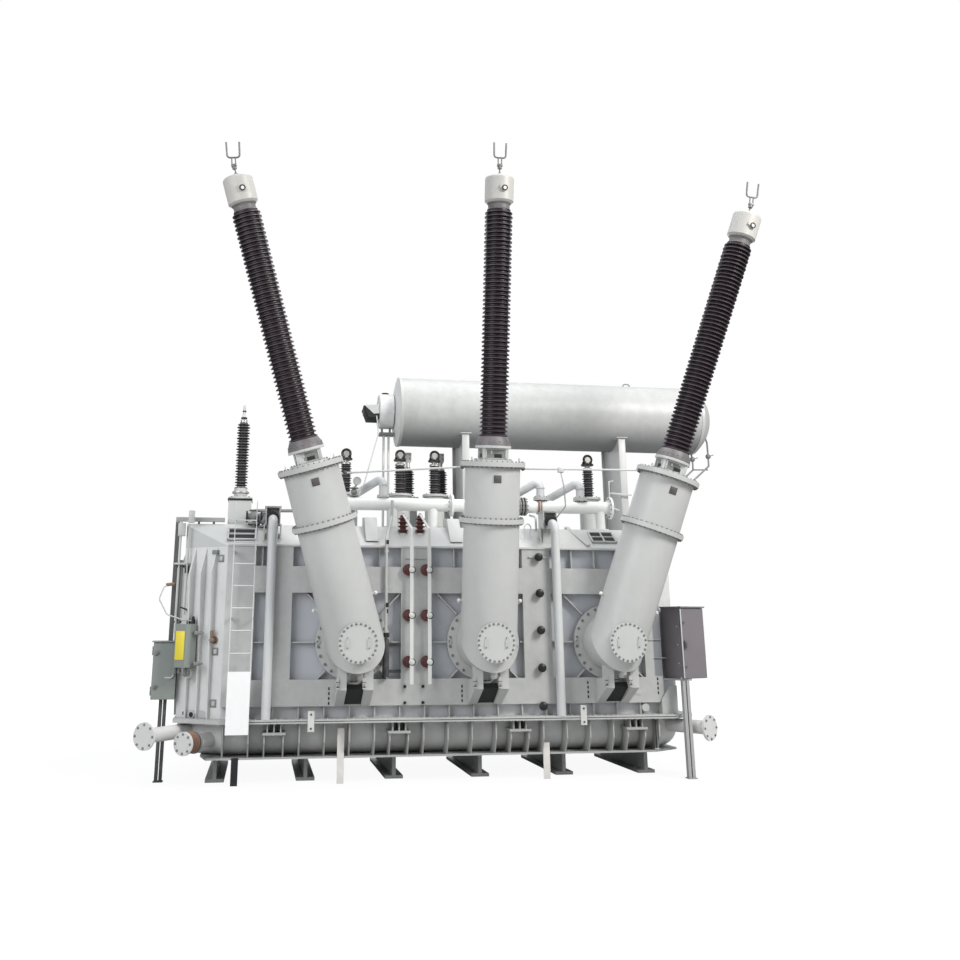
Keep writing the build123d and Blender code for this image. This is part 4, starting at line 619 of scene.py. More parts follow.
def shed_tree():
    """A stack of sheds, long and short by turns, up local Z."""
    tree, given, result = node_group("Shed stack", [
        ("Pairs", "NodeSocketInt", 24),
        ("Pair Pitch", "NodeSocketFloat", 0.16),
        ("Core Radius", "NodeSocketFloat", 0.17),
        ("Long Shed Radius", "NodeSocketFloat", 0.23),
        ("Short Shed Radius", "NodeSocketFloat", 0.21),
        ("Rim Thickness", "NodeSocketFloat", 0.008),
        ("Rise", "NodeSocketFloat", 0.03),
        ("Vertices", "NodeSocketInt", 40),
        ("Material", "NodeSocketMaterial", None),
    ])
    names = ("Pairs", "Pair Pitch", "Core Radius", "Rim Thickness", "Rise")
    pairs, pitch, core, rim, rise = (Term(tree, given.outputs[name]) for name in names)
    vertices = given.outputs["Vertices"]

    def cone(low, high, depth, base):
        sockets = {"Vertices": vertices, "Radius Top": high, "Radius Bottom": low, "Depth": depth}
        return lifted(tree, new_node(tree, "GeometryNodeMeshCone", {"fill_type": "NONE"}, sockets), base)

    def lid(height):
        sockets = {"Vertices": vertices, "Radius": core}
        return lifted(tree, new_node(tree, "GeometryNodeMeshCircle", {"fill_type": "NGON"}, sockets), height)

    half = pitch * 0.5
    under = rise * 0.35
    shoulder = core + rise * 0.12
    cones = []
    for base, name in ((0.0, "Long Shed Radius"), (half, "Short Shed Radius")):
        radius = given.outputs[name]
        lip = under + base
        top = lip + rim
        cones += [
            cone(core, radius, under, base),
            cone(radius, radius, rim, lip),
            cone(radius, shoulder, rise, top),
            cone(shoulder, core, half + base - top - rise, top + rise),
        ]
    step = new_node(tree, "ShaderNodeCombineXYZ", None, {"Z": pitch})
    line = new_node(tree, "GeometryNodeMeshLine", {"mode": "OFFSET"}, {"Count": pairs, "Offset": step.outputs[0]})
    sockets = {"Points": line.outputs[0], "Instance": joined(tree, *cones)}
    stack = new_node(tree, "GeometryNodeInstanceOnPoints", None, sockets)
    foot = new_node(tree, "GeometryNodeFlipFaces", None, {"Mesh": lid(0.0)})
    whole = joined(tree, stack.outputs[0], foot.outputs[0], lid(pairs * pitch))
    real = new_node(tree, "GeometryNodeRealizeInstances", None, {"Geometry": whole})
    merged = new_node(tree, "GeometryNodeMergeByDistance", None, {"Geometry": real.outputs[0], "Distance": 0.0002})
    return finish_tree(tree, merged.outputs[0], given, result)


def grown(tree, base, values, name, material, place, smooth):
    """Run a tree on a mesh with values by input name, and return the plain mesh object that it makes."""
    maker = bpy.data.objects.new(name + "_maker", base)
    bpy.context.scene.collection.objects.link(maker)
    modifier = maker.modifiers.new("maker", "NODES")
    modifier.node_group = tree
    wanted = dict(values, Material=material)
    for item in tree.interface.items_tree:
        if item.item_type == "SOCKET" and item.in_out == "INPUT" and item.name in wanted:
            modifier[item.identifier] = wanted[item.name]
    bpy.context.view_layer.update()
    seen = maker.evaluated_get(bpy.context.evaluated_depsgraph_get())
    mesh = bpy.data.meshes.new_from_object(seen)
    maker.modifiers.remove(modifier)
    bpy.data.objects.remove(maker)
    mesh.name = name
    mesh.transform(place)
    return mesh_object(name, mesh, material, smooth)


def shed_stack(tree, name, finish, place, sizes):
    """Grow a stack of sheds, and store on each point how near it is to their rims, from 0 at the core to 1."""
    labels = ("Pairs", "Pair Pitch", "Core Radius", "Long Shed Radius", "Short Shed Radius", "Rim Thickness", "Rise",
              "Vertices")
    stack = grown(tree, bpy.data.meshes.new("empty"), dict(zip(labels, sizes)), name, FINISHES[finish], place, 40.0)
    core, rim = sizes[2:4]
    back = place.inverted()
    values = []
    for vertex in stack.data.vertices:
        spot = back @ vertex.co
        values.append((math.hypot(spot.x, spot.y) - core) / (rim - core))
    stack.data.attributes.new("rim", "FLOAT", "POINT").data.foreach_set("value", values)
    return stack


class Bolts:
    """Places for hex bolts, each with the way it faces and its size."""

    def __init__(self):
        self.points = []

    def add(self, point, facing, size):
        """Add one bolt."""
        self.points.append((Vector(point), Vector(facing).normalized(), size))

    def ring(self, place, count, radius, size, lift=0.0, start=0.5, flip=False, lowest=-2.0):
        """Add a circle of bolts about a place's local Z, without those whose sine is under the lowest."""
        way = way_of(place) * (-1.0 if flip else 1.0)
        for index in range(count):
            turn = (index + start) / count * math.tau
            if math.sin(turn) > lowest:
                self.add(on(place, radius * math.cos(turn), radius * math.sin(turn), lift), way, size)

    def row(self, start, end, count, facing, size):
        """Add a straight row of bolts, the first and last at its ends."""
        start, end = Vector(start), Vector(end)
        for index in range(count):
            self.add(start.lerp(end, index / max(1, count - 1)), facing, size)

    def done(self, name, finish, slot):
        """Make the bolts as one piece, with its finish; the slot is not used."""
        shares = settings("fastener")
        base = bpy.data.meshes.new(name + "_points")
        base.from_pydata([point for point, _, _ in self.points], [], [])
        facing = base.attributes.new("facing", "FLOAT_VECTOR", "POINT")
        facing.data.foreach_set("vector", [number for _, way, _ in self.points for number in way])
        size = base.attributes.new("size", "FLOAT", "POINT")
        size.data.foreach_set("value", [size for _, _, size in self.points])
        values = {"Head Height": shares.head_height, "Stud Length": shares.stud_length}
        keep(grown(hex_bolt_tree(), base, values, name, FINISHES[finish], Matrix(), 30.0))


# Settings a user would change


def colour(name, description, default):
    """Return a colour setting."""
    return FloatVectorProperty(name=name, description=description, subtype="COLOR", size=3, min=0.0, max=1.0,
                               default=default)


def radius_of(name, description, default):
    """Return a radius setting."""
    return FloatProperty(name=name, description=description, default=default, min=0.01, unit="LENGTH")


class PaintSettings(bpy.types.PropertyGroup):
    """Colours of the paints and glazes."""

    tank: colour("Tank paint", "Light grey of the tank and its pipework", (0.56, 0.565, 0.555))
    porcelain: colour("Bushing glaze", "Dark brown glaze of the line bushings", (0.011, 0.0055, 0.008))
    cabinet: colour("Cabinet paint", "Dark grey of the control cabinet", (0.215, 0.195, 0.215))
    box: colour("Box paint", "Green-grey of the small boxes", (0.26, 0.285, 0.265))
    resin: colour("Post insulator resin", "Dark red of the cast post insulators", (0.1, 0.032, 0.03))


class BushingSettings(bpy.types.PropertyGroup):
    """Sizes of the line bushings' sheds."""

    pairs: IntProperty(name="Shed pairs", description="Long and short sheds, counted in pairs", default=27, min=1)
    core: radius_of("Core radius", "Radius of the porcelain between its sheds", 0.196)
    long_shed: radius_of("Long shed radius", "Radius of the wider sheds", 0.242)
    short_shed: radius_of("Short shed radius", "Radius of the narrower sheds", 0.235)


class FastenerSettings(bpy.types.PropertyGroup):
    """Proportions of the bolts, as shares of their head's radius."""

    head_height: FloatProperty(name="Head height", description="Head height over head radius", default=1.05, min=0.1)
    stud_length: FloatProperty(name="Stud length", description="Bare stud over head radius", default=0.4, min=0.1)


class StageSettings(bpy.types.PropertyGroup):
    """The camera and the light."""

    key_power: FloatProperty(name="Key light", description="Power of the large soft light", default=1040.0, min=0.0)
    world_level: FloatProperty(name="Room light", description="Level of the even room light", default=0.43, min=0.0)
    floor_shade: FloatProperty(name="Floor shade", description="How much of the object's shadow shows",
                               default=0.16, min=0.0, max=1.0, subtype="FACTOR")


def settings(name):
    """Return one group of the scene's settings."""
    return getattr(bpy.context.scene, "transformer_" + name)


FINISHES = {}


def make_finishes():
    """Make every material once."""
    colours = settings("paint")
    tank = tuple(colours.tank)
    # Painted shade on the long walls' panels.
    panel_shade_colour = (0.53, 0.55, 0.59)
    FINISHES.update(
        tank=paint("Light grey paint", tank),
        # The walls get a lighter copy of the tank paint as painted light on the ends and the foot, and painted shade on
        # the panels.
        walls=paint("Wall paint with painted light and shade", (0.76, 0.765, 0.755), crevice_shade=0.35, zone=painted_panel_shade_zone, other=panel_shade_colour),
        # Painted shade on the outer edge of the stiles at the right.
        frame=paint("Stiffener paint with painted edge shade", tint(tank, 0.98), crevice_shade=0.45, zone=painted_stile_shade_zone, other=(0.27, 0.28, 0.3)),
        slope=paint("Cover paint", tint(tank, 1.05), crevice_shade=0.35),
        # Painted shade under the conservator's belly.
        conservator=paint("Conservator paint with painted belly shade", tint(tank, 0.95), crevice_shade=0.2, zone=painted_belly_shade_zone, other=(0.25, 0.255, 0.26)),
        head=paint("Head paint", (0.8, 0.8, 0.79), crevice_shade=0.2, zone=right_zone, other=tint(tank, 0.85)),
        # A lighter copy of the tank paint: painted light that offsets the shade under the flange.
        lower=paint("Lower tank paint, painted lighter", tint(tank, 1.3), crevice_shade=0.45, streaks=0.9),
        # A darker copy of the tank paint: painted shade on the gussets.
        gusset=paint("Gusset paint, painted darker", tint(tank, 0.74), crevice_shade=0.4, streaks=0.8),
        pipe=paint("Pipe paint", (0.64, 0.65, 0.655)),
        # A lighter copy of the tank paint: painted light that offsets the shade from the parts around the header.
        header=paint("Header paint, painted lighter", (0.86, 0.865, 0.85), crevice_shade=0.15),
        bright=paint("Pale paint", (0.7, 0.7, 0.69), crevice_shade=0.25),
        base=paint("Base paint", tint(tank, 0.75), crevice_shade=0.55),
        white=paint("White paint", (0.76, 0.76, 0.74), 0.4, 0.15),
        board=paint("Bare white board", (0.97, 0.97, 0.97), 0.35, 0.05, streaks=0.1),
        cabinet=paint("Cabinet paint", tuple(colours.cabinet), 0.38, 0.3),
        box=paint("Box paint", tuple(colours.box), 0.45, 0.3),
        cap=paint("Cap paint", (0.51, 0.495, 0.47), crevice_shade=0.2),
        plate=paint("Bare dark plate", (0.11, 0.1, 0.1), 0.5, 0.3, 0.0012),
        strap=paint("Earth strap", (0.82, 0.79, 0.76), 0.5, 0.1, zone=black_strap_zone, other=(0.012, 0.015, 0.019)),
        yellow=paint("Yellow plate", (0.83, 0.68, 0.06), 0.45, 0.05, 0.0003, 0.1),
        hollow=paint("Shaded steel", (0.022, 0.024, 0.024), 0.75, 0.1),
        post=paint("Post paint", (0.05, 0.05, 0.052), zone=right_zone, other=(0.42, 0.42, 0.42)),
        duct=paint("Duct paint", (0.1, 0.1, 0.1), zone=duct_zone, other=(0.4, 0.4, 0.39)),
        breather=paint("Breather paint", (0.03, 0.03, 0.031), 0.4, 0.2, zone=pipe_zone, other=(0.5, 0.505, 0.51)),
        cast=paint("Grey casting", (0.24, 0.245, 0.24), 0.5, 0.4, 0.0012),
        rust=paint("Primer red", (0.3, 0.17, 0.12), 0.6, 0.3),
        porcelain=glaze("Brown glaze with painted rim sheen", tuple(colours.porcelain), (0.055, 0.038, 0.05)),
        black_porcelain=glaze("Black glaze with painted rim sheen", (0.03, 0.027, 0.029), (0.13, 0.12, 0.122)),
        resin=moulding("Red resin", tuple(colours.resin), 0.32, 60.0),
        black=moulding("Black moulding", (0.014, 0.014, 0.015), 0.36),
        collar=moulding("Grey collar", (0.16, 0.145, 0.15), 0.5),
        rubber=moulding("Rubber seal", (0.03, 0.03, 0.03), 0.7),
        silver=bare_metal("Dull aluminium", (0.55, 0.55, 0.53), 0.42),
        zinc=bare_metal("Zinc plated steel", (0.2, 0.2, 0.2), 0.5, 0.5),
        tray=bare_metal("Galvanised tray", (0.12, 0.12, 0.122), 0.5, 0.5),
    )


def painted_panel_shade_zone(finish):
    """Return 1 where the long walls' panels are painted in shade, less of it low down, and 0 on the ends and the foot.
    """
    along, height = finish.axis("X"), finish.axis("Z")
    low = 1 - height.between(2.6, 2.75)
    inside = along.between(-4.3, -4.26) * (1 - (along - low * 0.3).between(3.12, 3.16))
    return inside * (height.between(1.3, 1.6) * 0.45 + 0.55)


def painted_stile_shade_zone(finish):
    """Return 1 where the outer edge of the stiles at the right, between the rails, is painted in shade."""
    height = finish.axis("Z")
    between_rails = height.between(1.585, 1.6) * (1 - height.between(2.85, 2.94))
    return finish.axis("X").between(2.97, 2.99) * between_rails


def painted_belly_shade_zone(finish):
    """Return 1 where the conservator's underside is painted in shade and 0 on its upper half."""
    return 1 - finish.axis("Z").between(5.9, 6.4)


def right_zone(finish):
    """Return 1 to the right of the tank's middle."""
    return finish.axis("X").between(-0.1, 0.1)


def duct_zone(finish):
    """Return 1 on the level run of the trunking and 0 on its upright run."""
    return finish.axis("Z").between(4.13, 4.16)


def pipe_zone(finish):
    """Return 1 on the breather's pipe and 0 on its drum."""
    return finish.axis("Z").between(2.22, 2.26)


def black_strap_zone(finish):
    """Return 1 on the strap at the left, which is coated black."""
    return 1 - finish.axis("X").between(-3.2, -3.1)


NODE_FINISHES = {
    "tank": """turret_left turret_centre turret_right turret_stubs current_transformer_sections manhole_covers
        turret_legs bushing_bases conservator_supports relief_hoods small_bushing_turrets""",
    "cap": "bushing_caps",
    "conservator": "conservator_shell",
    "bright": "ladder oil_pipes end_ribs",
    "duct": "cable_trunking",
    "breather": "breather",
    "walls": "upper_tank",
    "frame": "wall_rails wall_stiles short_ribs panel_ribs main_flange",
    "head": "conservator_heads tap_changer_conservator",
    "slope": "tank_cover",
    "lower": "lower_tank",
    "gusset": "base_gussets jacking_pads",
    "pipe": "relief_pipes oil_risers",
    "header": "oil_header",
    "base": "cross_bearers base_plate",
    "board": "ladder_board",
    "white": "earth_bars",
    "porcelain": "bushing_left bushing_centre bushing_right",
    "black_porcelain": "small_bushings",
    "collar": "bushing_collars",
    "resin": "earth_insulators",
    "black": "standoff_knobs",
    "silver": "line_terminals small_bushing_terminals",
    "cabinet": "cabinet_shell cabinet_door",
    "box": "terminal_box terminal_box_door relay_box",
    "strap": "earth_straps",
    "tray": "level_gauge",
    "post": "box_posts",
}


def keep(piece, body=TANK, replaced=()):
    """Ride a piece on its body, and hide the nodes that it stands for."""
    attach(piece, body)
    if replaced:
        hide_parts(*replaced)
    return piece


# Operators


class TRANSFORMER_OT_stage(bpy.types.Operator):
    """Set the camera, the floor and the light"""

    bl_idname = "transformer.stage"
    bl_label = "Stage"

    def execute(self, context):
        scene = context.scene
        scene.view_settings.view_transform = "Standard"
        options = settings("stage")
        right = Vector(CAMERA_RIGHT)
        forward = Vector(CAMERA_FORWARD).normalized()
        right = (right - forward * right.dot(forward)).normalized()
        turned = Matrix((right, right.cross(forward), -forward)).transposed().to_4x4()
        lens = bpy.data.cameras.new("camera")
        lens.sensor_width = SENSOR_WIDTH
        lens.lens = FOCAL_PIXELS / IMAGE_PIXELS * SENSOR_WIDTH
        lens.shift_x = (IMAGE_PIXELS / 2 - OPTICAL_CENTRE[0]) / IMAGE_PIXELS
        lens.shift_y = (OPTICAL_CENTRE[1] - IMAGE_PIXELS / 2) / IMAGE_PIXELS
        lens.clip_start = 0.1
        lens.clip_end = 200.0
        camera = bpy.data.objects.new("camera", lens)
        camera.matrix_world = Matrix.Translation(CAMERA_PLACE) @ turned
        scene.collection.objects.link(camera)
        scene.camera = camera
        self.light_room(scene, options.world_level)
        self.add_lamps(scene, options.key_power)
        self.add_floor(options.floor_shade)
        return {"FINISHED"}

    def light_room(self, scene, level):
        """Light the room evenly and keep it white to the camera."""
        world = bpy.data.worlds.new("room")
        scene.world = world
        world.use_nodes = True
        tree = world.node_tree
        tree.nodes.clear()
        room = new_node(tree, "ShaderNodeBackground", None, {"Color": (0.93, 0.965, 1.0, 1.0), "Strength": level})
        white = new_node(tree, "ShaderNodeBackground", None, {"Color": (1.0, 1.0, 1.0, 1.0)})
        rays = tree.nodes.new("ShaderNodeLightPath")
        seen = new_node(tree, "ShaderNodeMath", {"operation": "MAXIMUM"},
                        {0: rays.outputs["Is Camera Ray"], 1: rays.outputs["Is Transmission Ray"]})
        mix = new_node(tree, "ShaderNodeMixShader", None, {0: seen.outputs[0], 1: room.outputs[0], 2: white.outputs[0]})
        new_node(tree, "ShaderNodeOutputWorld", None, {0: mix.outputs[0]})

    def add_lamps(self, scene, power):
        """Add the soft lamps, each with its share of the key's power."""
        for name, place, target, size, share in (
            ("key", (11.0, -14.0, 15.0), (0.0, 0.0, 3.5), 6.0, 3.15),
            ("fill", (-13.0, -12.0, 9.0), (-1.0, 0.0, 3.0), 10.0, 1.2),
            ("top", (0.0, -1.0, 18.0), (0.0, 0.0, 4.0), 12.0, 1.25),
            ("back", (2.0, 16.0, 9.0), (0.0, 0.0, 4.0), 10.0, 0.6),
        ):
            data = bpy.data.lights.new(name, "AREA")
            data.size = size
            data.energy = power * share
            data.color = (1.0, 0.985, 0.95) if name == "key" else (0.97, 0.985, 1.0)
            lamp = bpy.data.objects.new(name, data)
            way = Vector(target) - Vector(place)
            lamp.matrix_world = Matrix.Translation(place) @ way.to_track_quat("-Z", "Y").to_matrix().to_4x4()
            scene.collection.objects.link(lamp)

    def add_floor(self, shade):
        """Add a floor that is white to the camera but for a faint shadow near the middle."""
        mesh = bpy.data.meshes.new("floor")
        reach = 60.0
        mesh.from_pydata([(-reach, -reach, 0), (reach, -reach, 0), (reach, reach, 0), (-reach, reach, 0)], [],
                         [(0, 1, 2, 3)])
        finish = Finish("Pale floor")
        tree = finish.tree
        cloud = finish.noise(0.4, 3.0, 0.5)
        finish.feed("Base Color", finish.blend(cloud, (0.36, 0.36, 0.36, 1.0), (0.4, 0.4, 0.4, 1.0)))
        finish.feed("Roughness", 0.9)
        glow = finish.add("ShaderNodeEmission", None, {"Color": (1.0, 1.0, 1.0, 1.0), "Strength": 1.115})
        rays = finish.add("ShaderNodeLightPath")
        near, across = finish.axis("X"), finish.axis("Y")
        far = ((near * near + across * across) ** 0.5).between(7.5, 13.0)
        seen = finish.term(rays, "Is Camera Ray") * (far * shade + (1.0 - shade))
        mix = finish.add("ShaderNodeMixShader", None, {0: seen, 1: finish.shader.outputs[0], 2: glow.outputs[0]})
        tree.links.new(mix.outputs[0], tree.nodes["Material Output"].inputs[0])
        floor = mesh_object("floor", mesh, finish.material)


class TRANSFORMER_OT_finishes(bpy.types.Operator):
    """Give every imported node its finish"""

    bl_idname = "transformer.finishes"
    bl_label = "Finishes"

    def execute(self, context):
        make_finishes()
        for finish, names in NODE_FINISHES.items():
            for name in names.split():
                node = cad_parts[name]
                if not node.material_slots:
                    node.data.materials.append(FINISHES[finish])
                for slot in node.material_slots:
                    slot.material = FINISHES[finish]
        return {"FINISHED"}


class TRANSFORMER_OT_bushings(bpy.types.Operator):
    """Make the line bushings' sheds and their terminals"""

    bl_idname = "transformer.bushings"
    bl_label = "Line bushings"

    def execute(self, context):
        sizes = settings("bushing")
        tree = shed_tree()
        pitch = PORCELAIN_LENGTH / sizes.pairs
        stack = (sizes.pairs, pitch, sizes.core, sizes.long_shed, sizes.short_shed, 0.012, 0.026, 48)
        for phase, name in enumerate(("left", "centre", "right")):
            sheds = shed_stack(tree, f"porcelain_{name}", "porcelain", turret_place(phase, PORCELAIN_START), stack)
            keep(sheds, TANK, [f"bushing_{name}"])
        self.make_terminals()
        return {"FINISHED"}

    def make_terminals(self):
        """Make each stem with its foot, links, clamp and fork, and the lug and plug of its cap."""
        shape, lugs, rings = shapes(3)
        for phase in range(3):
            top = turret_place(phase, CAP_TOP)
            shape.spin([(0.0, 0.0), (0.125, 0.0), (0.12, 0.012), (0.035, 0.05), (0.024, 0.07), (0.0, 0.07)], top, 24)
            shape.rod(on(top, 0, 0, 0.06), on(top, 0, 0, 0.15), 0.013)
            shape.spin([(0.0, 0.135), (0.036, 0.135), (0.04, 0.15), (0.03, 0.18), (0.0, 0.18)], top, 16)
            shape.block((-0.045, -0.03, 0.175), (0.045, 0.03, 0.225), 0.008, top)
            upright = Matrix.Rotation(-0.65 * TURRET_SPLAYS[phase], 4, "Y")
            fork = top @ Matrix.Translation((0, 0, 0.2)) @ upright @ Matrix.Translation((0, 0, -0.2))
            for side in (-0.03, 0.03):
                shape.rod(on(fork, side, 0, 0.21), on(fork, side, 0, 0.335), 0.011, 10)
            prongs = path_on(fork, (-0.107, 0, 0.6), (-0.102, 0, 0.335), (0.102, 0, 0.335), (0.107, 0, 0.6))
            shape.tube(prongs, 0.0155, 0.05, 12)
            arch = ((0.09, -0.02, -0.004), (0.09, -0.02, 0.035), (0.17, -0.02, 0.035), (0.17, -0.02, -0.004))
            lugs.tube(path_on(top, *arch), 0.011, 0.03, 10)
            plug = top @ at((0.035, -0.271, -0.265), (0.128, -1, 0))
            rings.spin([(0.032, 0.0), (0.052, 0.0), (0.052, 0.008), (0.032, 0.008), (0.032, 0.0)], plug, 28)
            lugs.spin([(0.0, 0.0), (0.028, 0.0), (0.028, 0.004), (0.0, 0.012)], plug, 20)
        shape.done("terminal_forks", "zinc", "terminal_metal", TANK, ["line_terminals"])
        lugs.done("cap_lugs", "white", "cap_metal")
        rings.done("cap_plug_rings", "rubber", "black_moulding")


class TRANSFORMER_OT_fasteners(bpy.types.Operator):
    """Put the bolts on every flange"""

    bl_idname = "transformer.fasteners"
    bl_label = "Bolts"

    def execute(self, context):
        bolts = Bolts()
        for phase in range(3):
            x = (phase - 1) * PHASE_SPACING
            wall = at((x, FRONT, TURRET_FOOT[1]), OUT)
            bolts.ring(wall, 24, 0.57, 0.019, 0.11, lowest=-0.92)
            bolts.ring(wall, 24, 0.287, 0.014, 1.072)
            seam = turret_place(phase, TURRET_LENGTH)
            top = turret_place(phase, TURRET_TOP)
            for place, count, radius, size, lift, flip in (
                (seam, 36, TURRET_BOLT_CIRCLE, 0.017, 0.038, False),
                (seam, 36, TURRET_BOLT_CIRCLE, 0.017, -0.038, True),
                (top, 36, TURRET_BOLT_CIRCLE, 0.021, -0.038, True),
                (top, 36, TURRET_BOLT_CIRCLE, 0.013, 0.04, False),
                (top, 16, 0.3, 0.011, 0.075, False),
                (top, 20, 0.276, 0.012, 0.37, False),
            ):
                bolts.ring(place, count, radius, size, lift, flip=flip)
        bolts.done("turret_bolts", "cast", "tank_paint")
        rows = Bolts()
        self.flange_rows(rows)
        rows.done("flange_bolts", "frame", "tank_paint")
        circles = Bolts()
        self.pipe_flanges(circles)
        circles.done("pipe_bolts", "cast", "tank_paint")
        return {"FINISHED"}

    def flange_rows(self, bolts):
        """Add the rows along the main flange."""
        low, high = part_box("main_flange")
        for lift, way in ((high.z, UP), (low.z, (0, 0, -1))):
            for edge in (-FLANGE_BOLT_LINE, FLANGE_BOLT_LINE):
                bolts.row((-4.15, edge, lift), (3.2, edge, lift), 72, way, 0.014)

    def pipe_flanges(self, bolts):
        """Add the circles of the header's and the cooler connections' flanges."""
        for x, way in ((-2.51, 1), (-0.4, -1), (-0.35, 1), (2.68, -1), (-2.55, -1), (2.72, 1)):
            bolts.ring(at((x, HEADER_Y, HEADER_Z), (way, 0, 0)), 12, 0.172, 0.013, start=0.0)
        for foot, normal, radius in (
            ((-5.4182, -1.9083, 0.785), LEFT_NORMAL, 0.17),
            ((-4.8329, -1.8365, 0.66), LEFT_NORMAL, 0.141),
            ((3.7424, -1.9701, 0.785), RIGHT_NORMAL, 0.17),
        ):
            way = Vector(normal)
            for face, side in ((Vector(foot), way), (Vector(foot) - way * 0.036, -way)):
                bolts.ring(at(face, side, UP), 8, radius, 0.015, start=0.0)


class TRANSFORMER_OT_small_bushings(bpy.types.Operator):
    """Make the neutral's and the low-voltage bushings' sheds and terminals"""

    bl_idname = "transformer.small_bushings"
    bl_label = "Small bushings"

    def execute(self, context):
        tree = shed_tree()
        pitch = 0.0933
        stacks = [(x, FRONT_ROW, LOW_VOLTAGE_BASE, 6, pitch, 0.075, 0.112) for x in LOW_VOLTAGE_FRONT]
        stacks += [(x, REAR_ROW, LOW_VOLTAGE_BASE, 6, pitch, 0.085, 0.135) for x in LOW_VOLTAGE_REAR]
        stacks += [(NEUTRAL_X, HEADER_Y, 4.785, 12, 0.1, 0.07, 0.118)]
        mesh = bpy.data.meshes.new("small_sheds")
        together = bmesh.new()
        for *point, pairs, pitch, core, rim in stacks:
            sizes = (pairs, pitch, core, rim, rim * 0.9, 0.007, 0.02, 32)
            stack = shed_stack(tree, "stack", "black_porcelain", Matrix.Translation(point), sizes)
            together.from_mesh(stack.data)
            bpy.data.objects.remove(stack)
        together.to_mesh(mesh)
        together.free()
        sheds = mesh_object("small_sheds", mesh, FINISHES["black_porcelain"], 40.0)
        keep(sheds, TANK, ["small_bushings"])
        self.make_terminals()
        return {"FINISHED"}

    def make_terminals(self):
        """Make ring clamps on the front bushings, palms on the rear ones and the neutral's pin."""
        metal, rings = shapes(2)
        bolts = Bolts()
        for x in LOW_VOLTAGE_FRONT:
            foot = Vector((x, FRONT_ROW, LOW_VOLTAGE_TOP))
            metal.spin([(0, 0), (0.1, 0), (0.1, 0.03), (0.08, 0.045), (0.05, 0.05), (0.05, 0.09), (0, 0.09)],
                       Matrix.Translation(foot))
            rings.disc(foot + Vector((0, 0, 0.09)), UP, 0.125, 0.035, 0.008)
            metal.disc(foot + Vector((0, 0, 0.125)), UP, 0.055, 0.03)
            metal.rod(foot + Vector((0, -0.05, 0.21)), foot + Vector((0, 0.06, 0.21)), 0.07, 24, 0.015)
            rings.loop(foot + Vector((0, -0.04, 0.21)), (0, 1, 0), 0.085, 0.02)
            rings.block(foot + Vector((-0.1, -0.02, 0.13)), foot + Vector((0.1, 0.03, 0.17)), 0.008)
        for x in LOW_VOLTAGE_REAR:
            foot = Vector((x, REAR_ROW, LOW_VOLTAGE_TOP))
            metal.spin([(0, 0), (0.085, 0), (0.085, 0.03), (0.045, 0.06), (0.035, 0.16), (0, 0.16)],
                       Matrix.Translation(foot))
            palm = [(-0.03, 0.12), (-0.075, 0.2), (-0.075, 0.36), (0.075, 0.36), (0.075, 0.2), (0.03, 0.12)]
            metal.plate(palm, 0.03, at(foot + Vector((0, 0.015, 0)), OUT), 0.003)
            for side in (-0.04, 0.04):
                for rise in (0.24, 0.32):
                    bolts.add(foot + Vector((side, -0.015, rise)), OUT, 0.011)
        rings.block((-4.375, -0.775, 4.555), (-3.945, -0.345, 4.592), 0.006)
        metal.disc((NEUTRAL_X, HEADER_Y, 4.7), UP, 0.15, 0.03)
        metal.disc((NEUTRAL_X, HEADER_Y, 4.76), UP, 0.105, 0.05)
        pin = Vector((NEUTRAL_X, HEADER_Y, 5.985))
        metal.spin([(0, 0), (0.062, 0), (0.062, 0.05), (0.03, 0.07), (0.03, 0.14), (0.022, 0.15), (0.022, 0.32),
                    (0, 0.32)], Matrix.Translation(pin))
        rings.disc(pin + Vector((0, 0, 0.075)), UP, 0.055, 0.025)
        rings.disc(pin + Vector((0, 0, 0.2)), UP, 0.034, 0.025)
        metal.done("small_terminals", "silver", "terminal_metal", TANK, ["small_bushing_terminals"])
        rings.done("terminal_rings", "black", "black_moulding")
        for x, y in [(x, FRONT_ROW) for x in LOW_VOLTAGE_FRONT] + [(x, REAR_ROW) for x in LOW_VOLTAGE_REAR]:
            bolts.ring(Matrix.Translation((x, y, LOW_VOLTAGE_BASE)), 12, 0.205, 0.014, start=0.0)
        bolts.ring(Matrix.Translation((NEUTRAL_X, HEADER_Y, 4.625)), 10, 0.185, 0.013, start=0.0)
        bolts.done("small_bushing_bolts", "zinc", "terminal_metal")


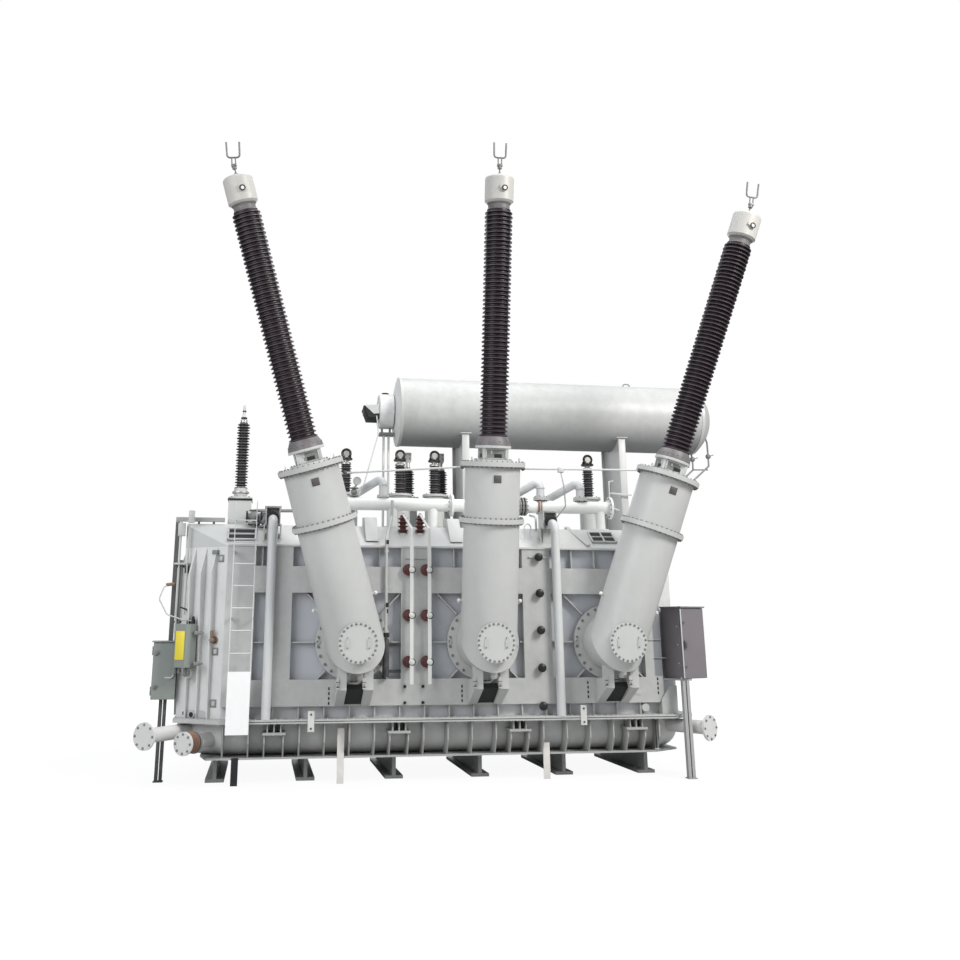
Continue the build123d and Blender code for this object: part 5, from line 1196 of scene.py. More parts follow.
class TRANSFORMER_OT_turret_fittings(bpy.types.Operator):
    """Make the turrets' handles, plates, plugs, lugs and collars, and the vent line between them"""

    bl_idname = "transformer.turret_fittings"
    bl_label = "Turret fittings"

    def execute(self, context):
        light, white, dark, shade, recess, collar = shapes(6)
        bell = [(0.0, 3.18), (0.275, 3.18), (0.275, 3.1965), (0.29, 3.199), (0.296, 3.21), (0.287, 3.27),
                (0.25, 3.352), (0.238, 3.371), (0.0, 3.371)]
        neck = [(0.0, 7.249), (0.204, 7.249), (0.2, 7.262), (0.185, 7.275), (0.184, 7.335), (0.2, 7.355),
                (0.204, 7.372), (0.0, 7.372)]
        for phase in range(3):
            collar.spin(bell, turret_place(phase), 64)
            collar.spin(neck, turret_place(phase), 48)
            x = (phase - 1) * PHASE_SPACING
            hip = turret_place(phase, 0.67)
            for side in (-1, 1):
                white.rod(on(hip, side * 0.44, 0, 0), on(hip, side * 0.5, 0, 0), 0.014)
                white.ball(on(hip, side * 0.515, 0, 0), 0.034)
            plate = turret_place(phase, 2.67) @ at(((0.0, -0.02, -0.02)[phase], -0.448, 0), OUT)
            dark.block((-0.062, -0.062, 0), (0.062, 0.062, 0.016), 0.003, plate)
            dark.block((-0.05, -0.05, 0.016), (0.05, 0.05, 0.024), 0.003, plate)
            dark.disc(on(plate, -0.012, 0.01, 0.022), way_of(plate), 0.026, 0.012)
            for side in (-0.17, 0.17):
                grip = [(side, 0.075, 0), (side, 0.075, 0.035), (side, -0.075, 0.035), (side, -0.075, 0)]
                cover = at((x, -2.52, 2.16), OUT)
                light.tube(path_on(cover, *grip), 0.006, 0.02, 8)
                for end in (-0.075, 0.075):
                    dark.disc(on(cover, side, end, 0), OUT, 0.011, 0.01)
            light.loop((x - 0.581, -1.578, 2.166), (0, 1, 0), 0.03, 0.009)
            light.block((x - 0.605, -1.576, 2.19), (x - 0.557, -1.55, 2.24), 0.003)
            for near, far in ((-0.3, -0.255), (0.11, 0.16)):
                for face, low, high in ((-2.165, 1.455, 1.475), (-2.165, 1.535, 1.55), (-2.145, 1.455, 1.63)):
                    light.block((x + near, face, low), (x + far, -2.125, high), 0.003)
                for z in (1.478, 1.553):
                    dark.block((x + near - 0.004, -2.15, z), (x + far + 0.004, -2.128, z + 0.01))
                dark.rod((x + (near + far) / 2, -2.15, 1.5), (x + (near + far) / 2, -2.172, 1.5), 0.012, 6)
            light.rod((x, -1.8, 1.575), (x, -1.8, 1.74), 0.055, 24, 0.004)
            light.disc((x, -1.8, 1.56), UP, 0.075, 0.02)
            dark.disc((x, -1.8, 1.545), UP, 0.06, 0.016)
            base = turret_place(phase)
            self.add_window(light, shade, recess, base)
            light.disc(on(base, 0, 0, 3.172), way_of(base), 0.3, 0.045, 0.006, 64)
            brace = [(-2.1, 1.47), (-1.59, 1.18), (-1.59, 1.56), (-2.0, 1.6)]
            for near, far in ((-0.28, -0.15), (0.15, 0.28)):
                light.upright(x + near, brace, far - near, 0.003)
            # A dark plate on the rail between the legs: painted shadow of the legs and the drum.
            shade.upright(x - 0.15, [(-2.0, 1.44), (-1.59, 1.19), (-1.59, 1.5), (-1.95, 1.52)], 0.3)
            top = turret_place(phase, TURRET_TOP)
            for side in (0.4, -0.4):
                light.loop(on(top, side, -0.2, 0.075), base.to_3x3() @ Vector((1, 0, 0)), 0.035, 0.009)
        self.add_vent(light, dark)
        light.done("turret_lugs", "tank", "tank_paint")
        white.done("turret_plugs", "white", "tank_paint")
        dark.done("turret_plates", "plate", "tank_paint")
        shade.done("turret_windows_and_shadow_plates", "hollow", "tank_paint")
        recess.done("base_recesses", "cast", "tank_paint")
        collar.done("collar_bells", "collar", "collar_metal", TANK, ["bushing_collars"])
        return {"FINISHED"}

    def add_window(self, light, shade, recess, base):
        """Add the frame, the recess, the lug and a dark patch of painted shade on each side of the box under one
        bushing.
        """
        for turn in range(4):
            side = base @ Matrix.Rotation(turn * math.pi / 2, 4, "Z") @ at((0, -0.2105, 3.08), OUT)
            for near, far in ((-0.18, -0.158), (0.158, 0.18)):
                light.block((near, -0.086, -0.004), (far, 0.086, 0.01), 0.002, side)
            for near, far in ((-0.086, -0.072), (0.072, 0.086)):
                light.block((-0.18, near, -0.004), (0.18, far, 0.01), 0.002, side)
            recess.block((-0.158, -0.072, -0.004), (0.158, 0.072, 0.002), 0.0, side)
            light.block((-0.09, 0.0, 0.0), (-0.06, 0.05, 0.012), 0.003, side)
            # A dark patch of painted shade in the recess.
            shade.block((-0.03, -0.06, 0.0), (0.1, 0.0, 0.005), 0.0015, side)

    def add_vent(self, light, dark):
        """Add the thin vent line that joins the turrets' tops, with its clamps and unions."""
        ends = ((0, 0.44, 2.67), (0, 0.52, 2.67), (1, -0.52, 2.85), (1, -0.44, 2.85),
                (1, 0.44, 2.85), (1, 0.52, 2.85), (2, -0.52, 2.85), (2, -0.44, 2.85))
        sides = [turret_place(phase, along) @ Vector((side, 0, 0)) for phase, side, along in ends]
        for group in (sides[:4], sides[4:]):
            light.tube(group, 0.017, 0.06, 10)
            for end in (group[1], group[2]):
                dark.ball(end, 0.036, 12)
        middle = sides[5].lerp(sides[6], 0.32)
        light.block(middle - Vector((0.05, 0.03, 0.06)), middle + Vector((0.05, 0.03, 0.03)), 0.01)
        drop = [middle - Vector((0, 0, 0.05)), middle - Vector((-0.05, 0, 0.3)), middle - Vector((-0.25, -0.6, 0.55)),
                Vector((1.35, -1.2, 4.16))]
        light.tube(drop, 0.012, 0.2, 8)


class TRANSFORMER_OT_earthing(bpy.types.Operator):
    """Make the ribbed post insulators, their caps, links and bolts"""

    bl_idname = "transformer.earthing"
    bl_label = "Earthing"

    def execute(self, context):
        resin, bright, dark = shapes(3)
        ribbed = [(0, 0), (0.062, 0), (0.07, 0.012), (0.052, 0.022), (0.092, 0.045), (0.096, 0.056), (0.058, 0.066),
                  (0.09, 0.088), (0.094, 0.098), (0.056, 0.108), (0.05, 0.128), (0, 0.13)]
        for column, bar in zip((-1.29, -0.99), (-1.245, -0.945)):
            for z in (1.85, 2.59, 3.33):
                resin.spin(ribbed, at((column, STIFFENER_FACE, z), OUT), 28)
                bright.disc((bar, -1.742, z), OUT, 0.046, 0.014, 0.005)
                bright.disc((bar, -1.756, z), OUT, 0.024, 0.014, 0.004, 6)
                dark.loop((bar + 0.012, -1.744, z - 0.004), OUT, 0.05, 0.006)
            for z in (1.46, 1.21):
                dark.disc((column - 0.05, STIFFENER_FACE, z), OUT, 0.026, 0.03, 0.004, 6)
        stack = [(0, 0), (0.05, 0), (0.05, 0.02)]
        for step in range(4):
            base = 0.03 + step * 0.068
            stack += [(0.052, base), (0.09, base + 0.018), (0.092, base + 0.028), (0.052, base + 0.045)]
        stack += [(0.05, 0.315), (0, 0.315)]
        for x, bar in ((-1.3, -1.245), (-0.995, -0.945)):
            foot = Vector((x, -1.05, 3.97))
            resin.spin(stack, Matrix.Translation(foot + Vector((0, 0, 0.02))), 28)
            bright.disc(foot - Vector((0, 0, 0.06)), UP, 0.07, 0.085, 0.006, 8)
            bright.disc(foot + Vector((0, 0, 0.33)), UP, 0.034, 0.04)
            link = [Vector((bar, -1.736, 3.84)), Vector((bar, -1.736, 4.02)), foot + Vector((0, 0, 0.36))]
            for start, end in zip(link, link[1:]):
                bright.bar(start, end, 0.04, 0.008, (0, -1, 0.2))
            dark.disc(foot + Vector((0, 0, 0.36)), UP, 0.018, 0.02, 0.003, 6)
        resin.done("earth_posts", "resin", "red_resin", TANK, ["earth_insulators"])
        bright.done("earth_links", "white", "bar_paint")
        dark.done("earth_bolts", "black", "black_moulding")
        self.make_knobs()
        return {"FINISHED"}

    def make_knobs(self):
        """Make the black standoff knobs with their necks and glossy heads."""
        knobs = Shape()
        outline = [(0, 0), (0.03, 0), (0.03, 0.035), (0.052, 0.04), (0.07, 0.055), (0.072, 0.075), (0.068, 0.1),
                   (0.054, 0.117), (0.03, 0.124), (0, 0.126)]
        for index in range(5):
            knobs.spin(outline, at((0.975, STIFFENER_FACE, 1.135 + 0.6075 * index), OUT), 32)
        knobs.done("knobs", "black", "black_moulding", TANK, ["standoff_knobs"])


class TRANSFORMER_OT_wall_fittings(bpy.types.Operator):
    """Make the small parts on the long walls, the main flange and the breather"""

    bl_idname = "transformer.wall_fittings"
    bl_label = "Wall fittings"

    def execute(self, context):
        light, dark, white = shapes(3)
        for low, high, top in ((-1.341, -0.98, 3.515), (0.806, 1.145, 3.553)):
            light.block((low, -1.625, top), (high, -1.45, top + 0.022), 0.003)
            for x in (low + 0.02, high - 0.04):
                light.upright(x, [(-1.46, top), (-1.46, 3.7), (-1.5, 3.7), (-1.595, top)], 0.016)
        for x, low in ((-0.384, 1.21), (1.78, 1.25), (-2.58, 1.19), (3.02, 1.3)):
            for step in range(4):
                dark.block((x - 0.012, -1.603, low + step * 0.075), (x + 0.012, -1.597, low + step * 0.075 + 0.045))
        for x, low in ((-2.865, 0.8), (1.626, 0.841)):
            white.block((x - 0.052, -1.795, low), (x + 0.052, -1.779, low + 0.314), 0.004)
            for rise in (0.05, 0.26):
                dark.disc((x, -1.795, low + rise), OUT, 0.016, 0.012, 0.003, 6)
        for near in (-FLANGE_FACE, FLANGE_FACE - 0.02):
            dark.block((-4.2, near, 0.95), (3.25, near + 0.02, 0.96))
        self.add_breather(light, dark)
        self.add_right_end(light, dark)
        light.done("wall_lugs", "frame", "tank_paint")
        white.done("bonding_plates", "white", "tank_paint")
        dark.done("wall_studs", "hollow", "tank_paint")
        return {"FINISHED"}

    def add_breather(self, light, dark):
        """Add the pipe beside the breather, its clips and the hexagons of its unions."""
        for z in (3.62, 2.95, 2.3):
            light.block((-1.69, -1.66, z), (-1.62, -1.6, z + 0.04), 0.004)
        for z, radius in ((3.75, 0.032), (2.72, 0.034), (2.62, 0.028), (2.24, 0.05)):
            dark.rod((-1.655, -1.655, z), (-1.655, -1.655, z + 0.07), radius, 6, 0.003)
        pipe = [(-1.665, -1.655, 2.25), (-1.665, -1.655, 3.84), (-1.47, -0.82, 4.3), (-1.46, -0.8, 4.6)]
        light.tube(pipe, 0.027, 0.06)

    def add_right_end(self, light, dark):
        """Add the ribs, valve disc and brackets between the right turret and the cabinet."""
        for low, high, z in ((2.86, 3.12, 2.18), (2.98, 3.2, 1.88)):
            light.block((low, -1.62, z), (high, -1.45, z + 0.02), 0.003)
        light.rod((2.789, FRONT, 1.085), (2.789, -1.56, 1.085), 0.045)
        light.disc((2.789, -1.5, 1.085), OUT, 0.066, 0.016)
        light.disc((2.789, -1.55, 1.085), OUT, 0.07, 0.03, 0.008)
        light.block((2.61, -1.606, 1.29), (2.71, -1.598, 1.37), 0.002)
        dark.block((2.885, -1.71, 0.44), (2.902, -1.69, 0.925), 0.002)
        light.block((2.86, -1.72, 0.44), (2.93, -1.68, 0.455), 0.002)
        stay = [(3.06, 0.984), (3.34, 0.984), (3.34, 1.44), (3.22, 1.44), (3.06, 1.22)]
        light.plate(stay, 0.02, at((0, -1.62, 0), OUT), 0.002)
        light.upright(3.06, [(-1.62, 0.984), (-1.45, 0.984), (-1.45, 1.3), (-1.62, 1.22)], 0.016)


class TRANSFORMER_OT_cover_fittings(bpy.types.Operator):
    """Make the valves, brackets, hatches, gauge and bent risers on the cover"""

    bl_idname = "transformer.cover_fittings"
    bl_label = "Cover fittings"

    def execute(self, context):
        light, dark, cast, rust = shapes(4)
        frame_place = slope_place(-4.09, 3.92)
        for left, low, right, high in (
            (-0.24, 0.16, 0.24, 0.185),
            (-0.24, -0.015, 0.24, 0.015),
            (-0.24, -0.185, 0.24, -0.16),
            (-0.24, -0.185, -0.215, 0.185),
            (0.215, -0.185, 0.24, 0.185),
        ):
            light.block((left, low, -0.004), (right, high, 0.03), 0.003, frame_place)
        dark.block((-0.22, -0.17, -0.004), (0.22, 0.17, 0.006), 0.0, frame_place)
        for x in (-1.98, -0.5):
            light.upright(x, [(-0.62, 4.1), (-0.62, 4.3), (-0.98, 4.27), (-1.32, 3.83)], 0.22, 0.004)
        light.bar((1.76, -0.8, 4.16), (1.985, -1.36, 3.79), 0.07, 0.05, (0, -0.58, 0.82))
        slope = slope_place(0.0, 3.94)
        for x in (2.1, 2.32, 2.54):
            light.block((x - 0.012, -0.14, -0.01), (x + 0.012, 0.2, 0.03), 0.003, slope)
        for rise in (-0.14, 0.02, 0.18):
            light.block((2.09, rise, -0.01), (2.55, rise + 0.02, 0.025), 0.003, slope)
        dark.block((2.11, -0.12, -0.01), (2.53, 0.18, 0.006), 0.0, slope)
        self.add_header_parts(light, dark, cast, rust)
        self.add_valves(light, dark, cast)
        light.done("cover_fittings", "tank", "tank_paint")
        dark.done("cover_hollows", "hollow", "tank_paint")
        cast.done("cover_valves", "cast", "tank_paint")
        rust.done("cover_joints", "rust", "tank_paint")
        return {"FINISHED"}

    def add_header_parts(self, light, dark, cast, rust):
        """Add the header's valve, joint rings, riser flanges and gauge, and the risers themselves."""
        for shape, x, radius, depth in (
            (cast, 0.93, 0.17, 0.025),
            (cast, 0.985, 0.17, 0.025),
            (cast, 1.04, 0.17, 0.025),
            (rust, 1.285, 0.135, 0.03),
            (rust, 1.33, 0.135, 0.03),
            (light, 1.315, 0.15, 0.014),
        ):
            shape.disc((x, HEADER_Y, HEADER_Z), (1, 0, 0), radius, depth)
        dark.studs(at((0.9, HEADER_Y, HEADER_Z), (1, 0, 0), (0, 1, 0)), 12, 0.15, 0.19)
        for x in (1.364, 2.134):
            for z in (4.68, 4.712):
                light.disc((x, HEADER_Y, z), UP, 0.135, 0.028)
            dark.studs(Matrix.Translation((x, HEADER_Y, 4.66)), 8, 0.112, 0.1, 0.5)
        cast.rod((-2.132, HEADER_Y, 4.66), (-2.132, HEADER_Y, 4.86), 0.03)
        cast.ball((-2.132, HEADER_Y, 4.77), 0.062)
        for z in (4.69, 4.83):
            cast.disc((-2.132, HEADER_Y, z), UP, 0.078, 0.018)
        light.rod((-2.132, HEADER_Y, 4.84), (-2.09, HEADER_Y, 4.9), 0.018)
        light.rod((-2.081, -0.51, 4.971), (-2.081, -0.6, 4.971), 0.07, 28, 0.008)
        light.loop((-2.081, -0.605, 4.971), OUT, 0.066, 0.011)
        risers = Shape()
        for x in (-1.6, 1.364, 2.134):
            path = [(x, HEADER_Y, 4.64), (x, HEADER_Y, 5.05), (x - 0.5, -0.16, 4.76), (x - 0.5, -0.16, 4.1)]
            risers.tube(path, 0.075, 0.09, 20)
            risers.disc((x - 0.5, -0.16, 4.12), UP, 0.13, 0.025)
            risers.spin([(0.075, 0), (0.09, 0.004), (0.09, 0.02), (0.075, 0.024), (0.075, 0)],
                        Matrix.Translation((x, HEADER_Y, 4.9)), 28)
        risers.done("risers", "pipe", "tank_paint", TANK, ["oil_risers"])
        light.disc((-1.6, HEADER_Y, 4.68), UP, 0.11, 0.045)
        light.tube([(1.15, -0.95, 4.1), (1.15, -0.95, 4.33), (1.15, HEADER_Y, 4.4)], 0.02, 0.08)
        hose = [(0.861, -1.24, 3.9), (0.861, -1.2, 4.12), (0.93, -1.15, 4.2), (1.0, -1.15, 4.14), (0.96, -1.2, 3.96)]
        light.tube(hose, 0.011, 0.05, 8)

    def add_valves(self, light, dark, cast):
        """Add the valve group by the neutral bushing and the brackets under the hoods."""
        for x, z in ((-3.9, 4.25), (-3.72, 4.2)):
            cast.rod((x, -0.95, 4.05), (x, -0.95, z + 0.08), 0.04)
            cast.ball((x, -0.95, z), 0.095)
            cast.disc((x, -0.95, z - 0.13), UP, 0.11, 0.03)
            cast.rod((x - 0.12, -0.95, z), (x + 0.12, -0.95, z), 0.06)
            for side in (-0.14, 0.11):
                dark.disc((x + side, -0.95, z), (1, 0, 0), 0.1, 0.03)
            cast.loop((x, -0.95, z + 0.11), UP, 0.08, 0.011)
            dark.rod((x - 0.07, -0.95, z + 0.11), (x + 0.07, -0.95, z + 0.11), 0.007, 8)
        cast.tube([(-3.96, -0.95, 4.22), (-3.96, -0.56, 4.4), (-2.6, -0.56, 4.42)], 0.03, 0.1)
        for x in (-3.58, 1.27):
            for side in (-0.15, 0.13):
                light.upright(x + side, [(-1.34, 3.82), (-1.14, 3.96), (-1.14, 4.1), (-1.34, 4.1)], 0.02, 0.002)
            light.block((x - 0.14, -1.47, 4.372), (x + 0.14, -1.11, 4.384), 0.003)
            dark.rod((x, -1.56, 4.19), (x, -1.44, 4.2), 0.1, 24, 0.01)


class TRANSFORMER_OT_conservator_fittings(bpy.types.Operator):
    """Make the conservator's rims, gauge hood, posts, lifting eye and pipes"""

    bl_idname = "transformer.conservator_fittings"
    bl_label = "Conservator fittings"

    def execute(self, context):
        light, pale, posts, dark, cast = shapes(5)
        axis = Vector((0, CONSERVATOR_Y, CONSERVATOR_Z))
        rim = [(0.688, -0.03), (0.7, -0.028), (0.7, 0.03), (0.688, 0.032), (0.688, -0.03)]
        for x in (-1.13, 5.1):
            light.spin(rim, at(axis + Vector((x, 0, 0)), (1, 0, 0)), 96)
        dark.disc((-1.4, CONSERVATOR_Y, 6.945), UP, 0.075, 0.03)
        lid = [(-1.85, 6.66), (-1.53, 6.69), (-1.53, 6.5), (-1.66, 6.49)]
        light.plate(lid, 0.6, at((0, 1.2, 0), OUT), 0.004)
        hood = [(-1.85, 6.655), (-1.66, 6.5), (-1.53, 6.51), (-1.53, 6.42), (-1.76, 6.42)]
        dark.plate(hood, 0.56, at((0, 1.18, 0), OUT), 0.004)
        for x in (-1.46, -1.3):
            cast.rod((x, CONSERVATOR_Y, 6.16), (x, CONSERVATOR_Y, 6.28), 0.022)
        cast.block((-1.52, 0.8, 6.1), (-1.22, 1.0, 6.16), 0.01)
        for x in (-1.425, -1.325):
            pale.rod((x, CONSERVATOR_Y, DECK), (x, CONSERVATOR_Y, 6.12), 0.024, 12)
            pale.disc((x, CONSERVATOR_Y, 4.135), UP, 0.045, 0.03)
        light.tube([(-1.6, 0.62, 6.45), (-1.56, 0.6, 6.1), (-1.9, -0.1, 5.0), (-2.05, -0.5, 4.7)], 0.012, 0.3, 8)
        saddle = [(0.28, DECK), (1.3, DECK), (1.3, 6.04), (1.1, 5.94), (0.9, 5.912), (0.7, 5.94), (0.55, 6.0),
                  (0.46, 6.075), (0.28, 6.075)]
        for x in (0.125, 3.33):
            light.block((x - 0.11, 0.22, 6.075), (x + 0.11, 0.46, 6.09), 0.003)
            for near, top in ((0.26, 6.075), (1.28, 6.02)):
                posts.block((x - 0.07, near, DECK), (x + 0.07, near + 0.04, top), 0.003)
            posts.upright(x - 0.016, saddle, 0.032, 0.003)
        cast.tube([(3.669, CONSERVATOR_Y, 7.27), (3.669, CONSERVATOR_Y, 7.36), (3.809, CONSERVATOR_Y, 7.36),
                   (3.809, CONSERVATOR_Y, 7.27)], 0.014, 0.05)
        light.block((3.639, 0.84, 7.275), (3.839, 0.96, 7.296), 0.003)
        ends = (turret_place(2, 2.94) @ Vector((0.47, 0.12, 0)), turret_place(2, 2.94) @ Vector((0.37, 0.3, 0)))
        for x, z, height, bend, end in ((5.455, 6.25, 5.86, 5.66, ends[0]), (5.1, 5.93, 5.79, 5.57, ends[1])):
            turn = Vector((x, CONSERVATOR_Y, bend))
            drop = [(x - 0.03, CONSERVATOR_Y, z), (x, CONSERVATOR_Y, z - 0.1), turn, turn.lerp(end, 0.5), end]
            cast.tube(drop, 0.018, 0.08)
            cast.ball((x, CONSERVATOR_Y, height), 0.055)
            cast.bar((x, 0.85, height), (x + 0.1, 0.85, height + 0.03), 0.02, 0.012)
        cast.rod((5.1, CONSERVATOR_Y, 5.57), (5.4, 0.84, 5.57), 0.014, 10)
        light.tube([(3.1, 0.26, 5.2), (2.95, 0.1, 5.16), (2.95, 0.1, 4.65), (3.15, 0.1, 4.6), (3.15, 0.26, 4.6)],
                   0.016, 0.06)
        light.bar((3.0, 0.2, 4.95), (3.45, 0.2, 4.92), 0.03, 0.02)
        light.done("conservator_fittings", "tank", "tank_paint")
        pale.done("conservator_pipes", "white", "tank_paint")
        posts.done("conservator_posts", "tank", "tank_paint", TANK, ["conservator_supports"])
        dark.done("gauge_hood", "hollow", "gauge_paint")
        cast.done("conservator_valves", "cast", "tank_paint")
        return {"FINISHED"}


class TRANSFORMER_OT_left_end(bpy.types.Operator):
    """Make the boxes' latches, the bare plates, conduits and valves at the left end"""

    bl_idname = "transformer.left_end"
    bl_label = "Left end"

    def execute(self, context):
        light, dark, cast, rust, yellow, door = shapes(6)
        for x, z in ((-4.425, 2.016), (-4.414, 1.214), (-4.405, 3.505)):
            place = chamfer_place(x, z)
            cast.block((-0.055, -0.06, -0.004), (0.055, 0.06, 0.012), 0.003, place)
            light.block((-0.03, -0.035, 0.01), (0.03, 0.035, 0.018), 0.002, place)
        valve = chamfer_place(-4.444, 2.196)
        way = way_of(valve)
        rust.disc(on(valve, 0, 0, -0.004), way, 0.06, 0.02)
        cast.rod(valve.translation, on(valve, 0, 0, 0.13), 0.026)
        rust.ball(on(valve, 0, 0, 0.08), 0.045)
        rust.rod(on(valve, 0, 0, 0.08), on(valve, 0, 0.13, 0.08), 0.014)
        rust.bar(on(valve, -0.06, 0.13, 0.08), on(valve, 0.05, 0.15, 0.08), 0.02, 0.02)
        hook = chamfer_place(-4.487, 3.615)
        cast.block((-0.06, -0.04, -0.004), (0.05, 0.03, 0.06), 0.008, hook)
        dark.disc(chamfer_place(-4.888, 1.05).translation, way, 0.028, 0.02)
        low = chamfer_place(-4.66, 1.04)
        light.plate([(-0.2, -0.05), (0.16, -0.05), (0.2, 0.03), (0.05, 0.06), (-0.2, 0.06)], 0.02,
                    low @ Matrix.Translation((0, 0, -0.004)))
        light.rod(on(low, -0.06, 0, 0), on(low, -0.06, 0, 0.1), 0.055)
        dark.disc(on(low, -0.06, 0, 0.098), way, 0.04, 0.01)
        yellow.bar((-5.0, -1.392, 1.888), (-5.0, -1.392, 2.338), 0.18, 0.004, LEFT_NORMAL)
        yellow.done("bare_yellow_plate", "yellow", "box_paint")
        self.add_pipes(light, dark, cast, rust)
        for x, z in ((-5.25, 1.42), (-5.27, 1.95)):
            door.block((-5.4, -1.1, z), (-5.37, -1.078, z + 0.07), 0.004)
            door.bar((-5.385, -1.102, z + 0.02), (-5.34, -1.102, z + 0.06), 0.018, 0.012)
        light.done("left_end_fittings", "tank", "tank_paint")
        dark.done("left_end_glands", "black", "black_moulding")
        cast.done("left_end_valves", "cast", "tank_paint")
        rust.done("left_end_joints", "rust", "tank_paint")
        door.done("left_box_latches", "zinc", "box_paint", BOX_DOOR)
        return {"FINISHED"}

    def add_pipes(self, light, dark, cast, rust):
        """Add the conduits, glands, cable loop and the bellows by the boxes."""
        light.tube([(-5.12, -1.0, 4.15), (-5.12, -1.0, 2.1), (-5.2, -1.0, 1.95)], 0.016, 0.06, 10)
        light.tube([(-4.98, -1.08, 4.1), (-4.98, -1.08, 2.9), (-4.98, -1.1, 2.6)], 0.014, 0.06, 10)
        cast.block((-5.14, -0.98, 2.3), (-5.06, -0.9, 3.5), 0.006)
        light.block((-5.2, -1.05, 3.42), (-4.86, -0.94, 3.45), 0.004)
        dark.block((-5.02, -1.06, 3.28), (-4.95, -0.99, 3.4), 0.006)
        light.block((-5.0, -1.16, 4.12), (-4.9, -1.04, 4.32), 0.006)
        light.block((-5.17, -1.04, 3.9), (-5.05, -0.95, 4.12), 0.006)
        for x, y in ((-4.9, -1.14), (-4.82, -1.2), (-4.74, -1.1)):
            dark.rod((x, y, 2.43), (x, y, 2.53), 0.032, 8, 0.004)
            dark.rod((x, y, 2.53), (x, y, 2.57), 0.022)
        dark.tube([(-4.9, -1.14, 2.55), (-4.93, -1.14, 2.68), (-5.05, -1.1, 2.72)], 0.013, 0.05, 8)
        light.tube([(-4.84, -1.2, 2.5), (-5.0, -1.25, 2.52), (-5.25, -1.2, 2.6), (-5.4, -1.15, 2.85),
                    (-5.33, -1.1, 3.06), (-5.2, -1.04, 3.1)], 0.011, 0.1, 8)
        rust.rod((-5.3, -1.08, 3.085), (-5.18, -1.02, 3.1), 0.028, 12, 0.004)
        for x, y, z in ((-5.0, -1.2, 1.7), (-4.9, -1.26, 1.66), (-5.08, -1.12, 1.68)):
            cast.rod((x, y, z), (x, y, z + 0.1), 0.028, 8, 0.004)
            cast.ball((x, y, z), 0.035)
        light.loop((-4.86, -1.27, 1.68), LEFT_NORMAL, 0.075, 0.01)
        light.tube([(-5.08, -1.12, 1.68), (-5.12, -1.1, 1.6), (-5.3, -1.05, 1.6)], 0.014, 0.04, 8)
        for x, y, z in ((-4.676, -1.604, 2.308), (-4.664, -1.612, 1.831)):
            cast.block((x - 0.1, y + 0.16, z - 0.03), (x + 0.0, y + 0.24, z + 0.03), 0.01)
            cast.rod((x - 0.02, y + 0.18, z), (x + 0.04, y + 0.13, z), 0.018)
        inner = Vector((-4.8329, -1.8365, 0.66))
        way = Vector(LEFT_NORMAL)
        for step in range(5):
            start = inner - way * (0.075 + step * 0.035)
            rust.rod(start, start - way * 0.018, 0.155, 32, 0.006)
        cast.rod(inner - way * 0.26, inner - way * 0.29, 0.17, 32, 0.004)


class TRANSFORMER_OT_cabinet(bpy.types.Operator):
    """Make the control cabinet's trim, its side studs and its lock"""

    bl_idname = "transformer.cabinet"
    bl_label = "Cabinet"

    def execute(self, context):
        corner = Matrix.Translation((3.35, -1.96, 1.56)) @ Matrix.Rotation(math.radians(20.0), 4, "Z")
        light = Shape()
        light.block((-0.004, -0.004, 0.01), (0.016, 0.006, 1.14), 0.002, corner)
        light.block((-0.025, -0.03, 1.178), (0.545, 0.0, 1.186), 0.002, corner)
        light.block((-0.02, 0.05, 0.0), (0.0, 0.07, 0.02), 0.002, corner)
        for z in (0.25, 0.55, 0.85):
            light.disc(on(corner, -0.002, 0.1, z), corner.to_3x3() @ Vector((-1, 0, 0)), 0.012, 0.008)
        light.done("cabinet_trim", "pipe", "cabinet_paint")
        lock = Shape()
        front = corner @ at((0.06, -0.02, 0.56), OUT)
        lock.block((-0.02, -0.07, 0), (0.02, 0.07, 0.014), 0.004, front)
        lock.block((-0.012, -0.05, 0.012), (0.012, 0.04, 0.035), 0.005, front)
        for z in (0.2, 0.92):
            spot = corner @ at((0.055, -0.02, z), OUT)
            lock.disc(spot.translation, corner.to_3x3() @ Vector(OUT), 0.016, 0.012)
        lock.done("cabinet_lock", "zinc", "cabinet_paint", CABINET_DOOR)
        return {"FINISHED"}


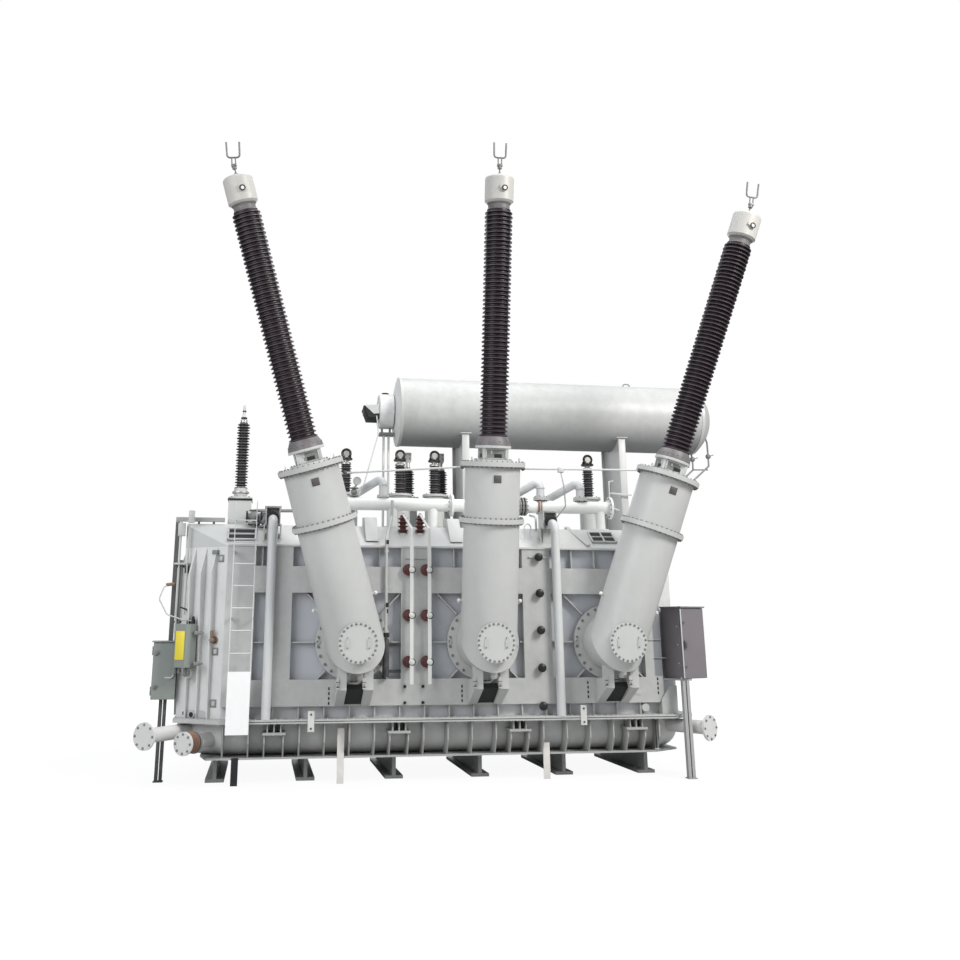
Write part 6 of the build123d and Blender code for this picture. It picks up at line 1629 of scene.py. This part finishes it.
CLASSES = [
    PaintSettings,
    BushingSettings,
    FastenerSettings,
    StageSettings,
    TRANSFORMER_OT_stage,
    TRANSFORMER_OT_finishes,
    TRANSFORMER_OT_bushings,
    TRANSFORMER_OT_small_bushings,
    TRANSFORMER_OT_turret_fittings,
    TRANSFORMER_OT_earthing,
    TRANSFORMER_OT_wall_fittings,
    TRANSFORMER_OT_cover_fittings,
    TRANSFORMER_OT_conservator_fittings,
    TRANSFORMER_OT_left_end,
    TRANSFORMER_OT_cabinet,
    TRANSFORMER_OT_fasteners,
]


class TRANSFORMER_PT_pieces(bpy.types.Panel):
    """Lists the pieces and their settings"""

    bl_label = "Power transformer"
    bl_space_type = "VIEW_3D"
    bl_region_type = "UI"
    bl_category = "Transformer"

    def draw(self, context):
        for item in CLASSES:
            if issubclass(item, bpy.types.Operator):
                self.layout.operator(item.bl_idname)
        for name in ("paint", "bushing", "fastener", "stage"):
            group = settings(name)
            box = self.layout.box()
            for key in group.__annotations__:
                box.prop(group, key)


def register():
    """Register every class and hang the settings on the scene."""
    for item in (*CLASSES, TRANSFORMER_PT_pieces):
        bpy.utils.register_class(item)
    bpy.types.Scene.transformer_paint = PointerProperty(type=PaintSettings)
    bpy.types.Scene.transformer_bushing = PointerProperty(type=BushingSettings)
    bpy.types.Scene.transformer_fastener = PointerProperty(type=FastenerSettings)
    bpy.types.Scene.transformer_stage = PointerProperty(type=StageSettings)


def unregister():
    """Take the settings and every class away again."""
    for name in ("paint", "bushing", "fastener", "stage"):
        delattr(bpy.types.Scene, "transformer_" + name)
    for item in reversed((*CLASSES, TRANSFORMER_PT_pieces)):
        bpy.utils.unregister_class(item)


def main():
    """Build the stage and every piece."""
    register()
    bpy.ops.transformer.stage()
    bpy.ops.transformer.finishes()
    bpy.ops.transformer.bushings()
    bpy.ops.transformer.small_bushings()
    bpy.ops.transformer.turret_fittings()
    bpy.ops.transformer.earthing()
    bpy.ops.transformer.wall_fittings()
    bpy.ops.transformer.cover_fittings()
    bpy.ops.transformer.conservator_fittings()
    bpy.ops.transformer.left_end()
    bpy.ops.transformer.cabinet()
    bpy.ops.transformer.fasteners()


if __name__ == "__main__":
    main()
